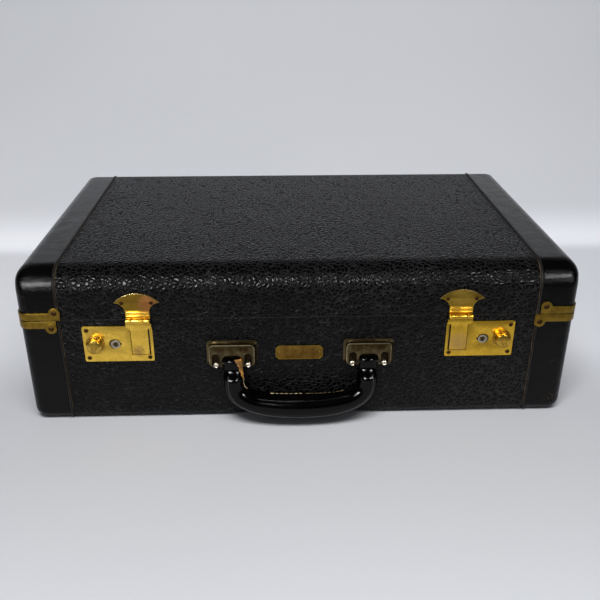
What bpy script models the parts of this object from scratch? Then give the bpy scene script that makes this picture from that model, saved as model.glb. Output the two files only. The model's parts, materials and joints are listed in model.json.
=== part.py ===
"""A black weekend suitcase, closed, with its handle hanging down.

Metres, +Z up. The origin is in the middle of the bottom face. The front, with the
locks and the handle, faces -Y, and the lid is hinged along the back.
"""

import math

import bmesh
import bpy
from mathutils import Matrix, Vector

# Case. The width is between the two end faces, the depth from front to back.
CASE_WIDTH = 0.533
CASE_DEPTH = 0.330
BASE_HEIGHT = 0.1115
LID_HEIGHT = 0.0505
SEAM_GAP = 0.0008
CORNER_RADIUS = 0.010
LID_FRONT_RADIUS = 0.024
LID_SIDE_RADIUS = 0.0135
BASE_FRONT_RADIUS = 0.010
BASE_SIDE_RADIUS = 0.013
CORNER_SHARE = 0.6

# Layers, from outside in: covering, plywood, lining, each with a small gap.
GAP = 0.0003
SKIN = 0.0012
WALL = 0.005
LINING = 0.0008
LINING_GAP = 0.0006
LIP_THICKNESS = 0.0025
LIP_CLEARANCE = 0.0006
LIP_BELOW_SEAM = 0.014
LIP_ABOVE_SEAM = 0.008

# End caps of smooth leather, with a cord welt along their edge.
CAP_REACH = 0.0375
WELT_RADIUS = 0.0012

# Brass edges round both ends, with a nailed lobe at each end of a strip.
EDGE_HEIGHT = 0.0076
EDGE_THICKNESS = 0.001
EDGE_REACH = 0.0378
LID_EDGE_SHIFT = 0.0023
BASE_EDGE_SHIFT = -0.0023
LOBE_RADIUS = 0.0054
LOBE_INSET = 0.005
LOBE_PROUD = 0.00025

# Locks. A drop is measured down from the seam, and a rise up from it.
LOCK_FROM_END = 0.092
LOCK_DROP = 0.0253
PLATE_WIDTH = 0.0665
PLATE_HEIGHT = 0.038
PLATE_THICKNESS = 0.0012
PLATE_CORNER = 0.0015
LOCK_CASE_SIDE_MARGIN = 0.003
LOCK_CASE_TOP_MARGIN = 0.003
LOCK_CASE_DEPTH = 0.0061
LOCK_CASE_WALL = 0.0008

# Push buttons and the bolts that they carry.
BUTTON_FROM_EDGE = 0.01125
BUTTON_TRAVEL = 0.004
BUTTON_RING_RADIUS = 0.009
BUTTON_RING_HEIGHT = 0.0016
BUTTON_DRUM_RADIUS = 0.0072
BUTTON_DRUM_HEIGHT = 0.0052
BUTTON_DOME = 0.0008
STEM_RADIUS = 0.0025
STEM_CLEARANCE = 0.0004
BOLT_THICKNESS = 0.001
BOLT_FACE_GAP = 0.0006
BOLT_BAR_HEIGHT = 0.0055
BOLT_ARM_WIDTH = 0.006
BOLT_NOSE_HEIGHT = 0.003
BOLT_NOSE_GAP = 0.0005
BOLT_NOSE_LENGTH = 0.003
BOLT_NOSE_ARM_SHARE = 0.38
SPRING_THICKNESS = 0.0005
SPRING_DROP = 0.004

# Key cores.
CORE_FROM_BUTTON = 0.018
CORE_RADIUS = 0.0047
CORE_PROUD = 0.0006
CORE_LENGTH = 0.0064
KEYHOLE_RADIUS = 0.0012
KEYHOLE_SLOT = 0.0009
KEYHOLE_LENGTH = 0.004
KEYHOLE_DEPTH = 0.0025
POINTER_LENGTH = 0.0075
POINTER_HALF_WIDTH = 0.003
CAM_LENGTH = 0.0075
CAM_WIDTH = 0.003
CAM_THICKNESS = 0.001

# Hasps, hinged on fan plates on the lid.
HASP_FROM_EDGE = 0.01245
HASP_SHEET = 0.0012
HASP_WIDTH = 0.0242
TONGUE_WIDTH = 0.0163
TONGUE_DROP = 0.037
TONGUE_CORNER = 0.001
NOTCH_CLEARANCE = 0.0004
NOTCH_SLOT = 0.0015
SHOULDER_DROP = 0.0102
SHOULDER_SIDE = 0.0045
KNUCKLE_RADIUS = 0.0026
KNUCKLE_STANDOFF = 0.0007
KNUCKLE_CLEARANCE = 0.0003
HASP_PIN_RADIUS = 0.0009
HASP_KNUCKLE_WIDTH = 0.0115
NECK_WIDTH = 0.0226
NECK_RISE = 0.010
FAN_WIDTH = 0.0427
FAN_TIP_RISE = 0.018
FAN_APEX_RISE = 0.0275
FAN_CURVE_SHARE = 0.28
FAN_NAIL_SPACING = 0.0275
BEAD_RADIUS = 0.0013
BEAD_RISES = (0.0045, 0.0081)
CATCH_THICKNESS = 0.0016
CATCH_DEPTH = 0.0043
CATCH_HEIGHT = 0.010
CATCH_EYE_HEIGHT = 0.005
CATCH_EYE_DEPTH = 0.0022
CATCH_SIDE_ROOM = 0.0007
CATCH_SWING_ROOM = 0.002

# Handle brackets and their studs, which rise from the bracket's lower edge.
BRACKET_X = 0.0663
BRACKET_TOP_DROP = 0.0235
BRACKET_WIDTH = 0.049
BRACKET_HEIGHT = 0.027
BRACKET_CORNER = 0.0035
BRACKET_THICKNESS = 0.0012
HOOD_WIDTH = 0.0445
HOOD_TOP_MARGIN = 0.0018
HOOD_DEPTH = 0.006
HOOD_CORNER = 0.0045
HOOD_BEVEL = 0.0009
ARCH_WIDTH = 0.0192
ARCH_RISE = 0.0135
ARCH_RADIUS = 0.005
STUD_SPACING = 0.0312
STUD_RISE = 0.0025
STUD_RADIUS = 0.0033
STUD_HEIGHT = 0.0026
STUD_SHANK = 0.0013
STUD_POCKET_WIDTH = 0.0075
STUD_POCKET_RISE = 0.0155
STUD_POCKET_DEPTH = 0.003

# Handle. The pivot is the pin through each end of the grip.
PIVOT_STANDOFF = 0.0075
PIVOT_RISE = 0.0055
HANDLE_PIN_RADIUS = 0.0013
HANDLE_PIN_LENGTH = 0.0225
LEG_INSET = 0.0007
GRIP_DROP = 0.0461
GRIP_STANDOFF = 0.0135
GRIP_HALF_HEIGHT = 0.0134
GRIP_HALF_DEPTH = 0.0125
LEG_STANDOFF = 0.0102
LEG_HALF_WIDTH = 0.0095
LEG_HALF_DEPTH = 0.0085
BEND_HEIGHT = 0.0296
BEND_POWER = 2.9
END_HALF_WIDTH = 0.0085
END_HALF_THICKNESS = 0.0042
END_REACH = 0.005
END_SHARES = (1, 0.85, 0.45)

# Name plate, left bare.
NAME_X = -0.001
NAME_DROP = 0.0377
NAME_WIDTH = 0.046
NAME_HEIGHT = 0.0152
NAME_THICKNESS = 0.001
NAME_CHAMFER = 0.003
NAME_RIM = 0.0012
NAME_RECESS = 0.0004
NAME_PIN_INSET = 0.0033

# Small nails, of the fan plates and the name plate.
NAIL_RADIUS = 0.0016
NAIL_HEIGHT = 0.0008
NAIL_SHANK = 0.0007
NAIL_CLEARANCE = 0.0003

# Back hinges.
HINGE_FROM_END = 0.1065
HINGE_WIDTH = 0.040
HINGE_LEAF_HEIGHT = 0.027
HINGE_SHEET = 0.0012
HINGE_CORNER = 0.003
HINGE_KNUCKLE_RADIUS = 0.003
HINGE_STANDOFF = 0.0034
HINGE_PIN_RADIUS = 0.0012
HINGE_SEGMENTS = 5

# Cutters run this far past what they cut.
OVERRUN = 0.002

# Numbers of steps in round stretches.
CORNER_STEPS = 5
EDGE_STEPS = 5
DOME_STEPS = 3
ROUND_SIDES = 24
GRIP_SIDES = 16
BEND_STEPS = 11
ROD_SIDES = 12

FRONT = -CASE_DEPTH / 2
BACK = CASE_DEPTH / 2
HALF_WIDTH = CASE_WIDTH / 2
TOP = BASE_HEIGHT + LID_HEIGHT
BASE_RIM = BASE_HEIGHT - SEAM_GAP / 2
LID_RIM = BASE_HEIGHT + SEAM_GAP / 2
SHELL_INSET = SKIN + GAP
LINING_INSET = SHELL_INSET + WALL + LINING_GAP
WELT_X = HALF_WIDTH - CAP_REACH
SIDES = (("left", -1), ("right", 1))

# Places of the hardware, from the ends, the seam and each other.
LOCK_X = HALF_WIDTH - LOCK_FROM_END
LOCK_Z = BASE_HEIGHT - LOCK_DROP
LOCK_CASE_WIDTH = PLATE_WIDTH - 2 * LOCK_CASE_SIDE_MARGIN
LOCK_CASE_HEIGHT = PLATE_HEIGHT - 2 * LOCK_CASE_TOP_MARGIN
BUTTON_FROM_LOCK = PLATE_WIDTH / 2 - BUTTON_FROM_EDGE
CORE_FROM_LOCK = BUTTON_FROM_LOCK - CORE_FROM_BUTTON
HASP_X = LOCK_X - PLATE_WIDTH / 2 + HASP_FROM_EDGE
TONGUE_BOTTOM = BASE_HEIGHT - TONGUE_DROP
SHOULDER_BOTTOM = BASE_HEIGHT - SHOULDER_DROP
NECK_TOP = BASE_HEIGHT + NECK_RISE
FAN_TIP = BASE_HEIGHT + FAN_TIP_RISE
FAN_APEX = BASE_HEIGHT + FAN_APEX_RISE
BRACKET_BOTTOM = BASE_HEIGHT - BRACKET_TOP_DROP - BRACKET_HEIGHT
ARCH_TOP = BRACKET_BOTTOM + ARCH_RISE
STUD_Z = BRACKET_BOTTOM + STUD_RISE
STUD_POCKET_TOP = BRACKET_BOTTOM + STUD_POCKET_RISE
PIVOT_Z = BRACKET_BOTTOM + PIVOT_RISE
LEG_X = BRACKET_X - LEG_INSET
NAME_Z = BASE_HEIGHT - NAME_DROP
HINGE_X = HALF_WIDTH - HINGE_FROM_END

# The outward side of the front is -Y: a plate's back is one gap off the covering.
PLATE_BACK = FRONT - GAP
PLATE_FRONT = PLATE_BACK - PLATE_THICKNESS
LOCK_CASE_FRONT = FRONT
LOCK_CASE_BACK = LOCK_CASE_FRONT + LOCK_CASE_DEPTH
BOLT_FRONT = LOCK_CASE_FRONT + LOCK_CASE_WALL + BOLT_FACE_GAP


def clear_scene():
    for obj in list(bpy.data.objects):
        bpy.data.objects.remove(obj, do_unlink=True)


def new_collection(name):
    collection = bpy.data.collections.new(name)
    bpy.context.scene.collection.children.link(collection)
    return collection


def new_material(name, colour, roughness, metallic):
    material = bpy.data.materials.new(name)
    material.use_nodes = True
    shader = material.node_tree.nodes["Principled BSDF"]
    shader.inputs["Base Color"].default_value = (*colour, 1)
    shader.inputs["Roughness"].default_value = roughness
    shader.inputs["Metallic"].default_value = metallic
    material.diffuse_color = (*colour, 1)
    return material


clear_scene()
suitcase = new_collection("leather_suitcase")
cutters = new_collection("cutters")
walrus = new_material("grained_covering", (0.02, 0.02, 0.021), 0.42, 0.0)
leather = new_material("smooth_leather", (0.012, 0.012, 0.013), 0.25, 0.0)
welting = new_material("welt_leather", (0.05, 0.048, 0.042), 0.6, 0.0)
plywood = new_material("plywood", (0.45, 0.32, 0.2), 0.7, 0.0)
cloth = new_material("lining_cloth", (0.32, 0.22, 0.14), 0.9, 0.0)
brass = new_material("bright_brass", (0.72, 0.52, 0.16), 0.32, 1.0)
dull_brass = new_material("dull_brass", (0.36, 0.27, 0.1), 0.45, 1.0)
antique = new_material("antique_brass", (0.2, 0.17, 0.09), 0.4, 1.0)
steel = new_material("nickelled_steel", (0.55, 0.52, 0.46), 0.3, 1.0)


def add_object(name, mesh, material, collection=None):
    obj = bpy.data.objects.new(name, mesh)
    (collection or suitcase).objects.link(obj)
    if material:
        mesh.materials.append(material)
    mesh.shade_smooth()
    mesh.set_sharp_from_angle(angle=math.radians(35))
    return obj


def hide_as_cutter(obj):
    obj.hide_render = True
    obj.display_type = "WIRE"
    return obj


def mesh_from(name, body):
    bmesh.ops.recalc_face_normals(body, faces=body.faces)
    mesh = bpy.data.meshes.new(name)
    body.to_mesh(mesh)
    body.free()
    return mesh


def block_mesh(name, low, high):
    """A box between two opposite corners."""
    low = Vector(low)
    high = Vector(high)
    middle = Matrix.Translation((low + high) / 2)
    scale = Matrix.Diagonal((*(high - low), 1))
    body = bmesh.new()
    bmesh.ops.create_cube(body, size=1, matrix=middle @ scale)
    return mesh_from(name, body)


def rods_mesh(name, rods, sides=ROD_SIDES):
    """Cylinders, each given as (start, end, radius), in one mesh."""
    body = bmesh.new()
    for start, end, radius in rods:
        start = Vector(start)
        along = Vector(end) - start
        turn = along.to_track_quat("Z", "Y").to_matrix().to_4x4()
        bmesh.ops.create_cone(
            body,
            cap_ends=True,
            segments=sides,
            radius1=radius,
            radius2=radius,
            depth=along.length,
            matrix=Matrix.Translation(start + along / 2) @ turn,
        )
    return mesh_from(name, body)


def block_cutter(name, low, high):
    return hide_as_cutter(add_object(name, block_mesh(name, low, high), None, cutters))


def rods_cutter(name, rods, sides=ROD_SIDES):
    return hide_as_cutter(add_object(name, rods_mesh(name, rods, sides), None, cutters))


def combine(obj, other, operation):
    modifier = obj.modifiers.new(operation.lower() + "_" + other.name, "BOOLEAN")
    modifier.operation = operation
    modifier.object = other


def cut(obj, cutter):
    combine(obj, cutter, "DIFFERENCE")


def join(obj, piece):
    combine(obj, piece, "UNION")


def keep(obj, region):
    combine(obj, region, "INTERSECT")


def solidify(obj, thickness, offset):
    modifier = obj.modifiers.new("thickness", "SOLIDIFY")
    modifier.thickness = thickness
    modifier.offset = offset
    modifier.use_even_offset = True


def mesh_of_curve(name, curve):
    """The curve's mesh with its loose caps welded. The curve itself is removed."""
    guide = bpy.data.objects.new(name, curve)
    cutters.objects.link(guide)
    bpy.context.view_layer.update()
    graph = bpy.context.evaluated_depsgraph_get()
    mesh = bpy.data.meshes.new_from_object(guide.evaluated_get(graph))
    bpy.data.objects.remove(guide, do_unlink=True)
    bpy.data.curves.remove(curve)
    body = bmesh.new()
    body.from_mesh(mesh)
    bpy.data.meshes.remove(mesh)
    bmesh.ops.remove_doubles(body, verts=body.verts, dist=GAP / 100)
    return body


def add_spline(curve, points, cyclic):
    spline = curve.splines.new("POLY")
    spline.points.add(len(points) - 1)
    for point, place in zip(spline.points, points):
        point.co = (*Vector(place).to_3d(), 1)
    spline.use_cyclic_u = cyclic


def slab_mesh(name, outlines, thickness):
    """A flat plate in XY. A second outline inside the first is a hole."""
    curve = bpy.data.curves.new(name, "CURVE")
    curve.dimensions = "2D"
    curve.fill_mode = "BOTH"
    curve.extrude = thickness / 2
    for outline in outlines:
        add_spline(curve, outline, True)
    return mesh_of_curve(name, curve)


def upright_mesh(name, outline, back, front):
    """A plate standing in XZ, drawn as (x, z), from its back to its front."""
    body = slab_mesh(name, [outline], abs(front - back))
    stand = Matrix.Rotation(math.pi / 2, 4, "X")
    place = Matrix.Translation((0, (front + back) / 2, 0))
    bmesh.ops.transform(body, matrix=place @ stand, verts=body.verts)
    return mesh_from(name, body)


def upright_plate(name, outline, back, front, material):
    return add_object(name, upright_mesh(name, outline, back, front), material)


def upright_helper(name, outline, back, front):
    mesh = upright_mesh(name, outline, back, front)
    return hide_as_cutter(add_object(name, mesh, None, cutters))


def ribbon_mesh(name, path, height, flat):
    """A strip of no thickness that stands on a flat path."""
    curve = bpy.data.curves.new(name, "CURVE")
    curve.dimensions = "2D"
    curve.fill_mode = "NONE"
    curve.extrude = height / 2
    add_spline(curve, path, False)
    body = mesh_of_curve(name, curve)
    bmesh.ops.transform(body, matrix=flat, verts=body.verts)
    return mesh_from(name, body)


def cord_mesh(name, path, radius):
    curve = bpy.data.curves.new(name, "CURVE")
    curve.dimensions = "3D"
    curve.bevel_depth = radius
    curve.bevel_resolution = 2
    curve.use_fill_caps = True
    add_spline(curve, path, False)
    return mesh_from(name, mesh_of_curve(name, curve))


def turned(name, profile, place, outward, material, sides=ROUND_SIDES):
    """A turned piece: (radius, height) from the top of its axis down its outer side."""
    mesh = bpy.data.meshes.new(name)
    points = [(radius, 0, height) for radius, height in profile]
    edges = [(i, i + 1) for i in range(len(points) - 1)]
    mesh.from_pydata(points, edges, [])
    obj = add_object(name, mesh, material)
    obj.location = place
    obj.rotation_euler = (math.pi / 2 * outward, 0, 0)
    screw = obj.modifiers.new("turned", "SCREW")
    screw.steps = sides
    screw.render_steps = sides
    screw.use_merge_vertices = True
    screw.merge_threshold = GAP / 100
    screw.use_smooth_shade = True
    return obj


def arc(centre, radius, start, end, steps):
    """Points of an arc in its plane, with the angles in degrees."""
    points = []
    for step in range(steps + 1):
        angle = math.radians(start + (end - start) * step / steps)
        x = centre[0] + radius * math.cos(angle)
        y = centre[1] + radius * math.sin(angle)
        points.append((x, y))
    return points


def dome(radius, height):
    """The profile of a round head, from its top down to its edge."""
    points = [(0, height)]
    for step in range(1, DOME_STEPS + 1):
        angle = math.pi / 2 * (1 - step / DOME_STEPS)
        points.append((radius * math.cos(angle), height * math.sin(angle)))
    return points


def rounded_rectangle(low, high, radius, steps=CORNER_STEPS):
    """Counter-clockwise from the right-hand end of the lower side."""
    x = (low[0] + radius, high[0] - radius)
    y = (low[1] + radius, high[1] - radius)
    points = arc((x[1], y[0]), radius, -90, 0, steps)
    points += arc((x[1], y[1]), radius, 0, 90, steps)
    points += arc((x[0], y[1]), radius, 90, 180, steps)
    points += arc((x[0], y[0]), radius, 180, 270, steps)
    return points


def body_of(empty, *pieces):
    """Hangs the pieces on an empty without moving them."""
    for piece in pieces:
        piece.parent = empty
        piece.matrix_parent_inverse = Matrix.Translation(-empty.location)


def joint_empty(name, place, parent=None):
    empty = bpy.data.objects.new(name, None)
    suitcase.objects.link(empty)
    empty.location = place
    if parent:
        empty.parent = parent
        empty.matrix_parent_inverse = Matrix.Translation(-parent.location)
    return empty


# The pans of the base and the lid.


def pan_rings(inset, end_z, rim_z, front_radius, side_radius):
    """Outlines of a rounded pan, from its closed end to its rim, all inset alike."""
    front_radius -= inset
    side_radius -= inset
    inward = math.copysign(1, rim_z - end_z)
    end_z += inset * inward
    tallest = max(front_radius, side_radius)
    rings = []
    for step in range(EDGE_STEPS + 1):
        depth = tallest * (1 - math.cos(math.pi / 2 * step / EDGE_STEPS))
        drawn = []
        for radius in (side_radius, front_radius):
            rise = max(radius - depth, 0)
            drawn.append(radius - math.sqrt(radius**2 - rise**2))
        half_x = HALF_WIDTH - inset - drawn[0]
        half_y = BACK - inset - drawn[1]
        corner = CORNER_RADIUS - inset
        corner *= 1 - CORNER_SHARE * min(drawn) / min(front_radius, side_radius)
        outline = rounded_rectangle((-half_x, -half_y), (half_x, half_y), corner)
        rings.append([(x, y, end_z + depth * inward) for x, y in outline])
    rings.append([(x, y, rim_z) for x, y, _ in rings[-1]])
    return rings


def pan_mesh(name, rings):
    """An open pan through unlike outlines, closed at its first one."""
    body = bmesh.new()
    loops = [[body.verts.new(point) for point in ring] for ring in rings]
    count = len(loops[0])
    body.faces.new(loops[0])
    for lower, upper in zip(loops, loops[1:]):
        for i in range(count):
            after = (i + 1) % count
            body.faces.new((lower[i], lower[after], upper[after], upper[i]))
    return mesh_from(name, body)


def base_rings(inset):
    return pan_rings(inset, 0, BASE_RIM, BASE_FRONT_RADIUS, BASE_SIDE_RADIUS)


def lid_rings(inset):
    return pan_rings(inset, TOP, LID_RIM, LID_FRONT_RADIUS, LID_SIDE_RADIUS)


def pan(name, rings, thickness, material):
    obj = add_object(name, pan_mesh(name, rings), material)
    outward = obj.data.polygons[0].normal.z * (rings[0][0][2] - rings[-1][0][2]) > 0
    solidify(obj, thickness, -1 if outward else 1)
    return obj


def span_block(name, low_x, high_x):
    """A block over the whole depth and height, between two places along X."""
    reach = CASE_DEPTH
    return block_cutter(name, (low_x, -reach, -reach), (high_x, reach, TOP + reach))


def end_span(name, side):
    """The block that an end cap keeps."""
    inner = side * (WELT_X + WELT_RADIUS + GAP)
    outer = side * CASE_WIDTH
    return span_block(name, min(inner, outer), max(inner, outer))


def covering(part, rings):
    """The grained middle and the two smooth end caps, flush with each other."""
    half = WELT_X - WELT_RADIUS - GAP
    cover = pan(part + "_cover", rings, SKIN, walrus)
    keep(cover, span_block(part + "_cover_span", -half, half))
    caps = []
    for side_name, side in SIDES:
        cap = pan(f"{part}_end_cap_{side_name}", rings, SKIN, leather)
        keep(cap, end_span(f"{part}_cap_span_{side_name}", side))
        caps.append(cap)
    return [cover, *caps]


def strip_end(side, shift):
    """How far from the middle a brass edge ends, and where its lobe's middle is."""
    end = HALF_WIDTH - EDGE_REACH + side * shift
    return end, end + LOBE_INSET


def welt_stop(side, shift):
    """How far from the seam a welt stops: at the rim, or clear of the brass edge."""
    end, lobe = strip_end(side, shift)
    near = min(end, lobe - LOBE_RADIUS)
    if near - (WELT_X + WELT_RADIUS) >= GAP:
        return SEAM_GAP / 2
    under_lobe = abs(lobe - WELT_X) < LOBE_RADIUS + WELT_RADIUS + GAP
    return SEAM_GAP / 2 + EDGE_HEIGHT + GAP + (LOBE_RADIUS if under_lobe else 0)


def welt(part, side_name, side, end_z, radius, shift):
    """A cord in the joint of covering and cap, up the front, over the end and down."""
    rise = math.copysign(1, BASE_HEIGHT - end_z)
    stop = BASE_HEIGHT - rise * welt_stop(side, shift)
    centre_z = end_z + rise * radius
    turn = 90 * rise
    path = [(FRONT, stop)]
    path += arc((FRONT + radius, centre_z), radius, 180, 180 + turn, EDGE_STEPS)
    path += arc((BACK - radius, centre_z), radius, -turn, 0, EDGE_STEPS)
    path.append((BACK, stop))
    points = [(side * WELT_X, y, z) for y, z in path]
    name = f"{part}_welt_{side_name}"
    return add_object(name, cord_mesh(name, points, WELT_RADIUS), welting)


def brass_edge(part, side_name, side, low_z, shift):
    """A strip round one end of the case, with a lobe at its front and back ends."""
    name = f"{part}_edge_{side_name}"
    off = GAP + EDGE_THICKNESS / 2
    end_x, lobe_x = strip_end(side, shift)
    corner = (HALF_WIDTH - CORNER_RADIUS, BACK - CORNER_RADIUS)
    radius = CORNER_RADIUS + off
    path = [(end_x, FRONT - off)]
    path += arc((corner[0], -corner[1]), radius, -90, 0, CORNER_STEPS)
    path += arc(corner, radius, 0, 90, CORNER_STEPS)
    path.append((end_x, BACK + off))
    path = [(side * x, y) for x, y in path]
    place = Matrix.Translation((0, 0, low_z + EDGE_HEIGHT / 2))
    strip = add_object(name, ribbon_mesh(name, path, EDGE_HEIGHT, place), dull_brass)
    solidify(strip, EDGE_THICKNESS, 0)
    far_z = low_z if part == "base" else low_z + EDGE_HEIGHT
    inner = GAP + LOBE_PROUD
    outer = inner + EDGE_THICKNESS
    lobes = []
    for face, out in ((FRONT, -1), (BACK, 1)):
        start = (side * lobe_x, face + out * inner, far_z)
        end = (side * lobe_x, face + out * outer, far_z)
        lobes.append((start, end, LOBE_RADIUS))
    join(strip, rods_cutter(name + "_lobes", lobes, ROUND_SIDES))
    return strip


# The base.


def lock_window(name, side, room):
    """The hole in front for one lock's case, seen from the front."""
    half_width = LOCK_CASE_WIDTH / 2 + room
    half_height = LOCK_CASE_HEIGHT / 2 + room
    x = side * LOCK_X
    low = (x - half_width, FRONT - OVERRUN, LOCK_Z - half_height)
    high = (x + half_width, FRONT + LINING_INSET, LOCK_Z + half_height)
    return block_cutter(name, low, high)


def catch_groove(name, side):
    """Where the hasp's catch goes in and out, open at the base's rim."""
    half = CATCH_THICKNESS / 2 + CATCH_SIDE_ROOM
    x = side * HASP_X
    low_z = LOCK_Z - CATCH_HEIGHT / 2 - CATCH_SWING_ROOM
    low = (x - half, PLATE_FRONT, low_z)
    high = (x + half, PLATE_BACK + CATCH_DEPTH + GAP, BASE_RIM + OVERRUN)
    return block_cutter(name, low, high)


def build_base():
    shell = pan("base_shell", base_rings(SHELL_INSET), WALL, plywood)
    covers = covering("base", base_rings(0))
    lining = pan("base_lining", base_rings(LINING_INSET), LINING, cloth)
    for side_name, side in SIDES:
        window = lock_window("lock_window_" + side_name, side, GAP)
        groove = catch_groove("catch_groove_" + side_name, side)
        for piece in (shell, covers[0]):
            cut(piece, window)
            cut(piece, groove)
        strip = welt("base", side_name, side, 0, BASE_FRONT_RADIUS, BASE_EDGE_SHIFT)
        low = (-CASE_WIDTH, -CASE_DEPTH, -CASE_DEPTH)
        cut(strip, block_cutter("floor_" + side_name, low, (CASE_WIDTH, CASE_DEPTH, 0)))
        brass_edge("base", side_name, side, BASE_RIM - EDGE_HEIGHT, BASE_EDGE_SHIFT)
    return shell, covers, lining


def build_inner_lip():
    """The frame inside the base's rim that the lid closes over."""
    outer = LINING_INSET + LINING + LIP_CLEARANCE
    inner = outer + LIP_THICKNESS
    outlines = []
    for inset in (outer, inner):
        half_x = HALF_WIDTH - inset
        half_y = BACK - inset
        radius = max(CORNER_RADIUS - inset, LIP_CLEARANCE)
        outlines.append(rounded_rectangle((-half_x, -half_y), (half_x, half_y), radius))
    body = slab_mesh("inner_lip", outlines, LIP_BELOW_SEAM + LIP_ABOVE_SEAM)
    middle = BASE_HEIGHT + (LIP_ABOVE_SEAM - LIP_BELOW_SEAM) / 2
    bmesh.ops.translate(body, vec=(0, 0, middle), verts=body.verts)
    return add_object("inner_lip", mesh_from("inner_lip", body), plywood)


def build_name_plate():
    half_w = NAME_WIDTH / 2
    half_h = NAME_HEIGHT / 2

    def outline(inset):
        w = half_w - inset
        h = half_h - inset
        c = NAME_CHAMFER
        corners = ((w - c, -h), (w, c - h), (w, h - c), (w - c, h))
        corners += ((c - w, h), (-w, h - c), (-w, c - h), (c - w, -h))
        return [(NAME_X + x, NAME_Z + z) for x, z in corners]

    front = PLATE_BACK - NAME_THICKNESS
    plate = upright_plate("name_plate", outline(0), PLATE_BACK, front, dull_brass)
    floor = front + NAME_RECESS
    field = upright_helper("name_field", outline(NAME_RIM), floor, front - OVERRUN)
    cut(plate, field)
    for side_name, side in SIDES:
        place = (NAME_X + side * (half_w - NAME_PIN_INSET), NAME_Z)
        nail_hole(plate, "name_pin_hole_" + side_name, place)
        nail("name_plate_pin_" + side_name, place, floor, dull_brass)


def nail_hole(plate, name, place):
    start = (place[0], FRONT, place[1])
    end = (place[0], PLATE_FRONT - OVERRUN, place[1])
    cut(plate, rods_cutter(name, [(start, end, NAIL_SHANK + NAIL_CLEARANCE)]))


def nail(name, place, surface, material):
    """A low round head on a plate, with its shank in the plate's hole."""
    head = surface - GAP
    shank = head - PLATE_BACK
    profile = dome(NAIL_RADIUS, NAIL_HEIGHT)
    profile += [(NAIL_SHANK, 0), (NAIL_SHANK, shank), (0, shank)]
    return turned(name, profile, (place[0], head, place[1]), 1, material, ROD_SIDES)


# Locks.


def button_x(side):
    return side * (LOCK_X + BUTTON_FROM_LOCK)


def core_x(side):
    return side * (LOCK_X + CORE_FROM_LOCK)


def build_lock(side_name, side):
    """The plate, the case behind it and the spring, all fixed to the base."""
    half_w = PLATE_WIDTH / 2
    half_h = PLATE_HEIGHT / 2
    x = side * LOCK_X
    low = (x - half_w, LOCK_Z - half_h)
    high = (x + half_w, LOCK_Z + half_h)
    outline = rounded_rectangle(low, high, PLATE_CORNER)
    name = "lock_plate_" + side_name
    plate = upright_plate(name, outline, PLATE_BACK, PLATE_FRONT, brass)
    case = lock_case("lock_case_" + side_name, side)
    cut(plate, tongue_notch("tongue_notch_" + side_name, side))
    cut(case, catch_groove("case_groove_" + side_name, side))
    stem_slot = button_slot("button_slot_" + side_name, side)
    core_hole = core_opening("core_opening_" + side_name, side)
    for piece in (plate, case):
        cut(piece, stem_slot)
        cut(piece, core_hole)
    pointer = [
        (core_x(side), LOCK_Z - POINTER_HALF_WIDTH),
        (core_x(side) - side * POINTER_LENGTH, LOCK_Z),
        (core_x(side), LOCK_Z + POINTER_HALF_WIDTH),
    ]
    tip = upright_helper(
        "pointer_" + side_name, pointer, FRONT, PLATE_FRONT - OVERRUN
    )
    cut(plate, tip)
    build_bolt_spring(side_name, side)


def lock_case(name, side):
    """A sheet box with its back open, let into the front wall."""
    half_width = LOCK_CASE_WIDTH / 2
    half_height = LOCK_CASE_HEIGHT / 2
    x = side * LOCK_X
    mesh = block_mesh(
        name,
        (x - half_width, LOCK_CASE_FRONT, LOCK_Z - half_height),
        (x + half_width, LOCK_CASE_BACK, LOCK_Z + half_height),
    )
    body = bmesh.new()
    body.from_mesh(mesh)
    rear = [face for face in body.faces if face.normal.y > math.cos(math.pi / 4)]
    bmesh.ops.delete(body, geom=rear, context="FACES_ONLY")
    body.to_mesh(mesh)
    body.free()
    case = add_object(name, mesh, steel)
    solidify(case, LOCK_CASE_WALL, -1)
    return case


def tongue_notch(name, side):
    """The plate's open-topped notch, wider on the inner side of the tongue."""
    outer = HASP_X + TONGUE_WIDTH / 2 + NOTCH_CLEARANCE
    inner = HASP_X - TONGUE_WIDTH / 2 - NOTCH_SLOT
    ends = sorted((side * outer, side * inner))
    low = (ends[0], PLATE_FRONT - OVERRUN, TONGUE_BOTTOM - NOTCH_CLEARANCE)
    high = (ends[1], FRONT, LOCK_Z + PLATE_HEIGHT)
    return block_cutter(name, low, high)


def button_slot(name, side):
    room = STEM_RADIUS + STEM_CLEARANCE
    ends = sorted((button_x(side) - side * room, button_x(side) + side * (room + BUTTON_TRAVEL)))
    low = (ends[0], PLATE_FRONT - OVERRUN, LOCK_Z - room)
    high = (ends[1], LOCK_CASE_FRONT + LOCK_CASE_WALL + GAP, LOCK_Z + room)
    return block_cutter(name, low, high)


def core_opening(name, side):
    start = (core_x(side), PLATE_FRONT - OVERRUN, LOCK_Z)
    end = (core_x(side), LOCK_CASE_FRONT + LOCK_CASE_WALL + GAP, LOCK_Z)
    return rods_cutter(name, [(start, end, CORE_RADIUS + GAP)], ROUND_SIDES)


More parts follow.
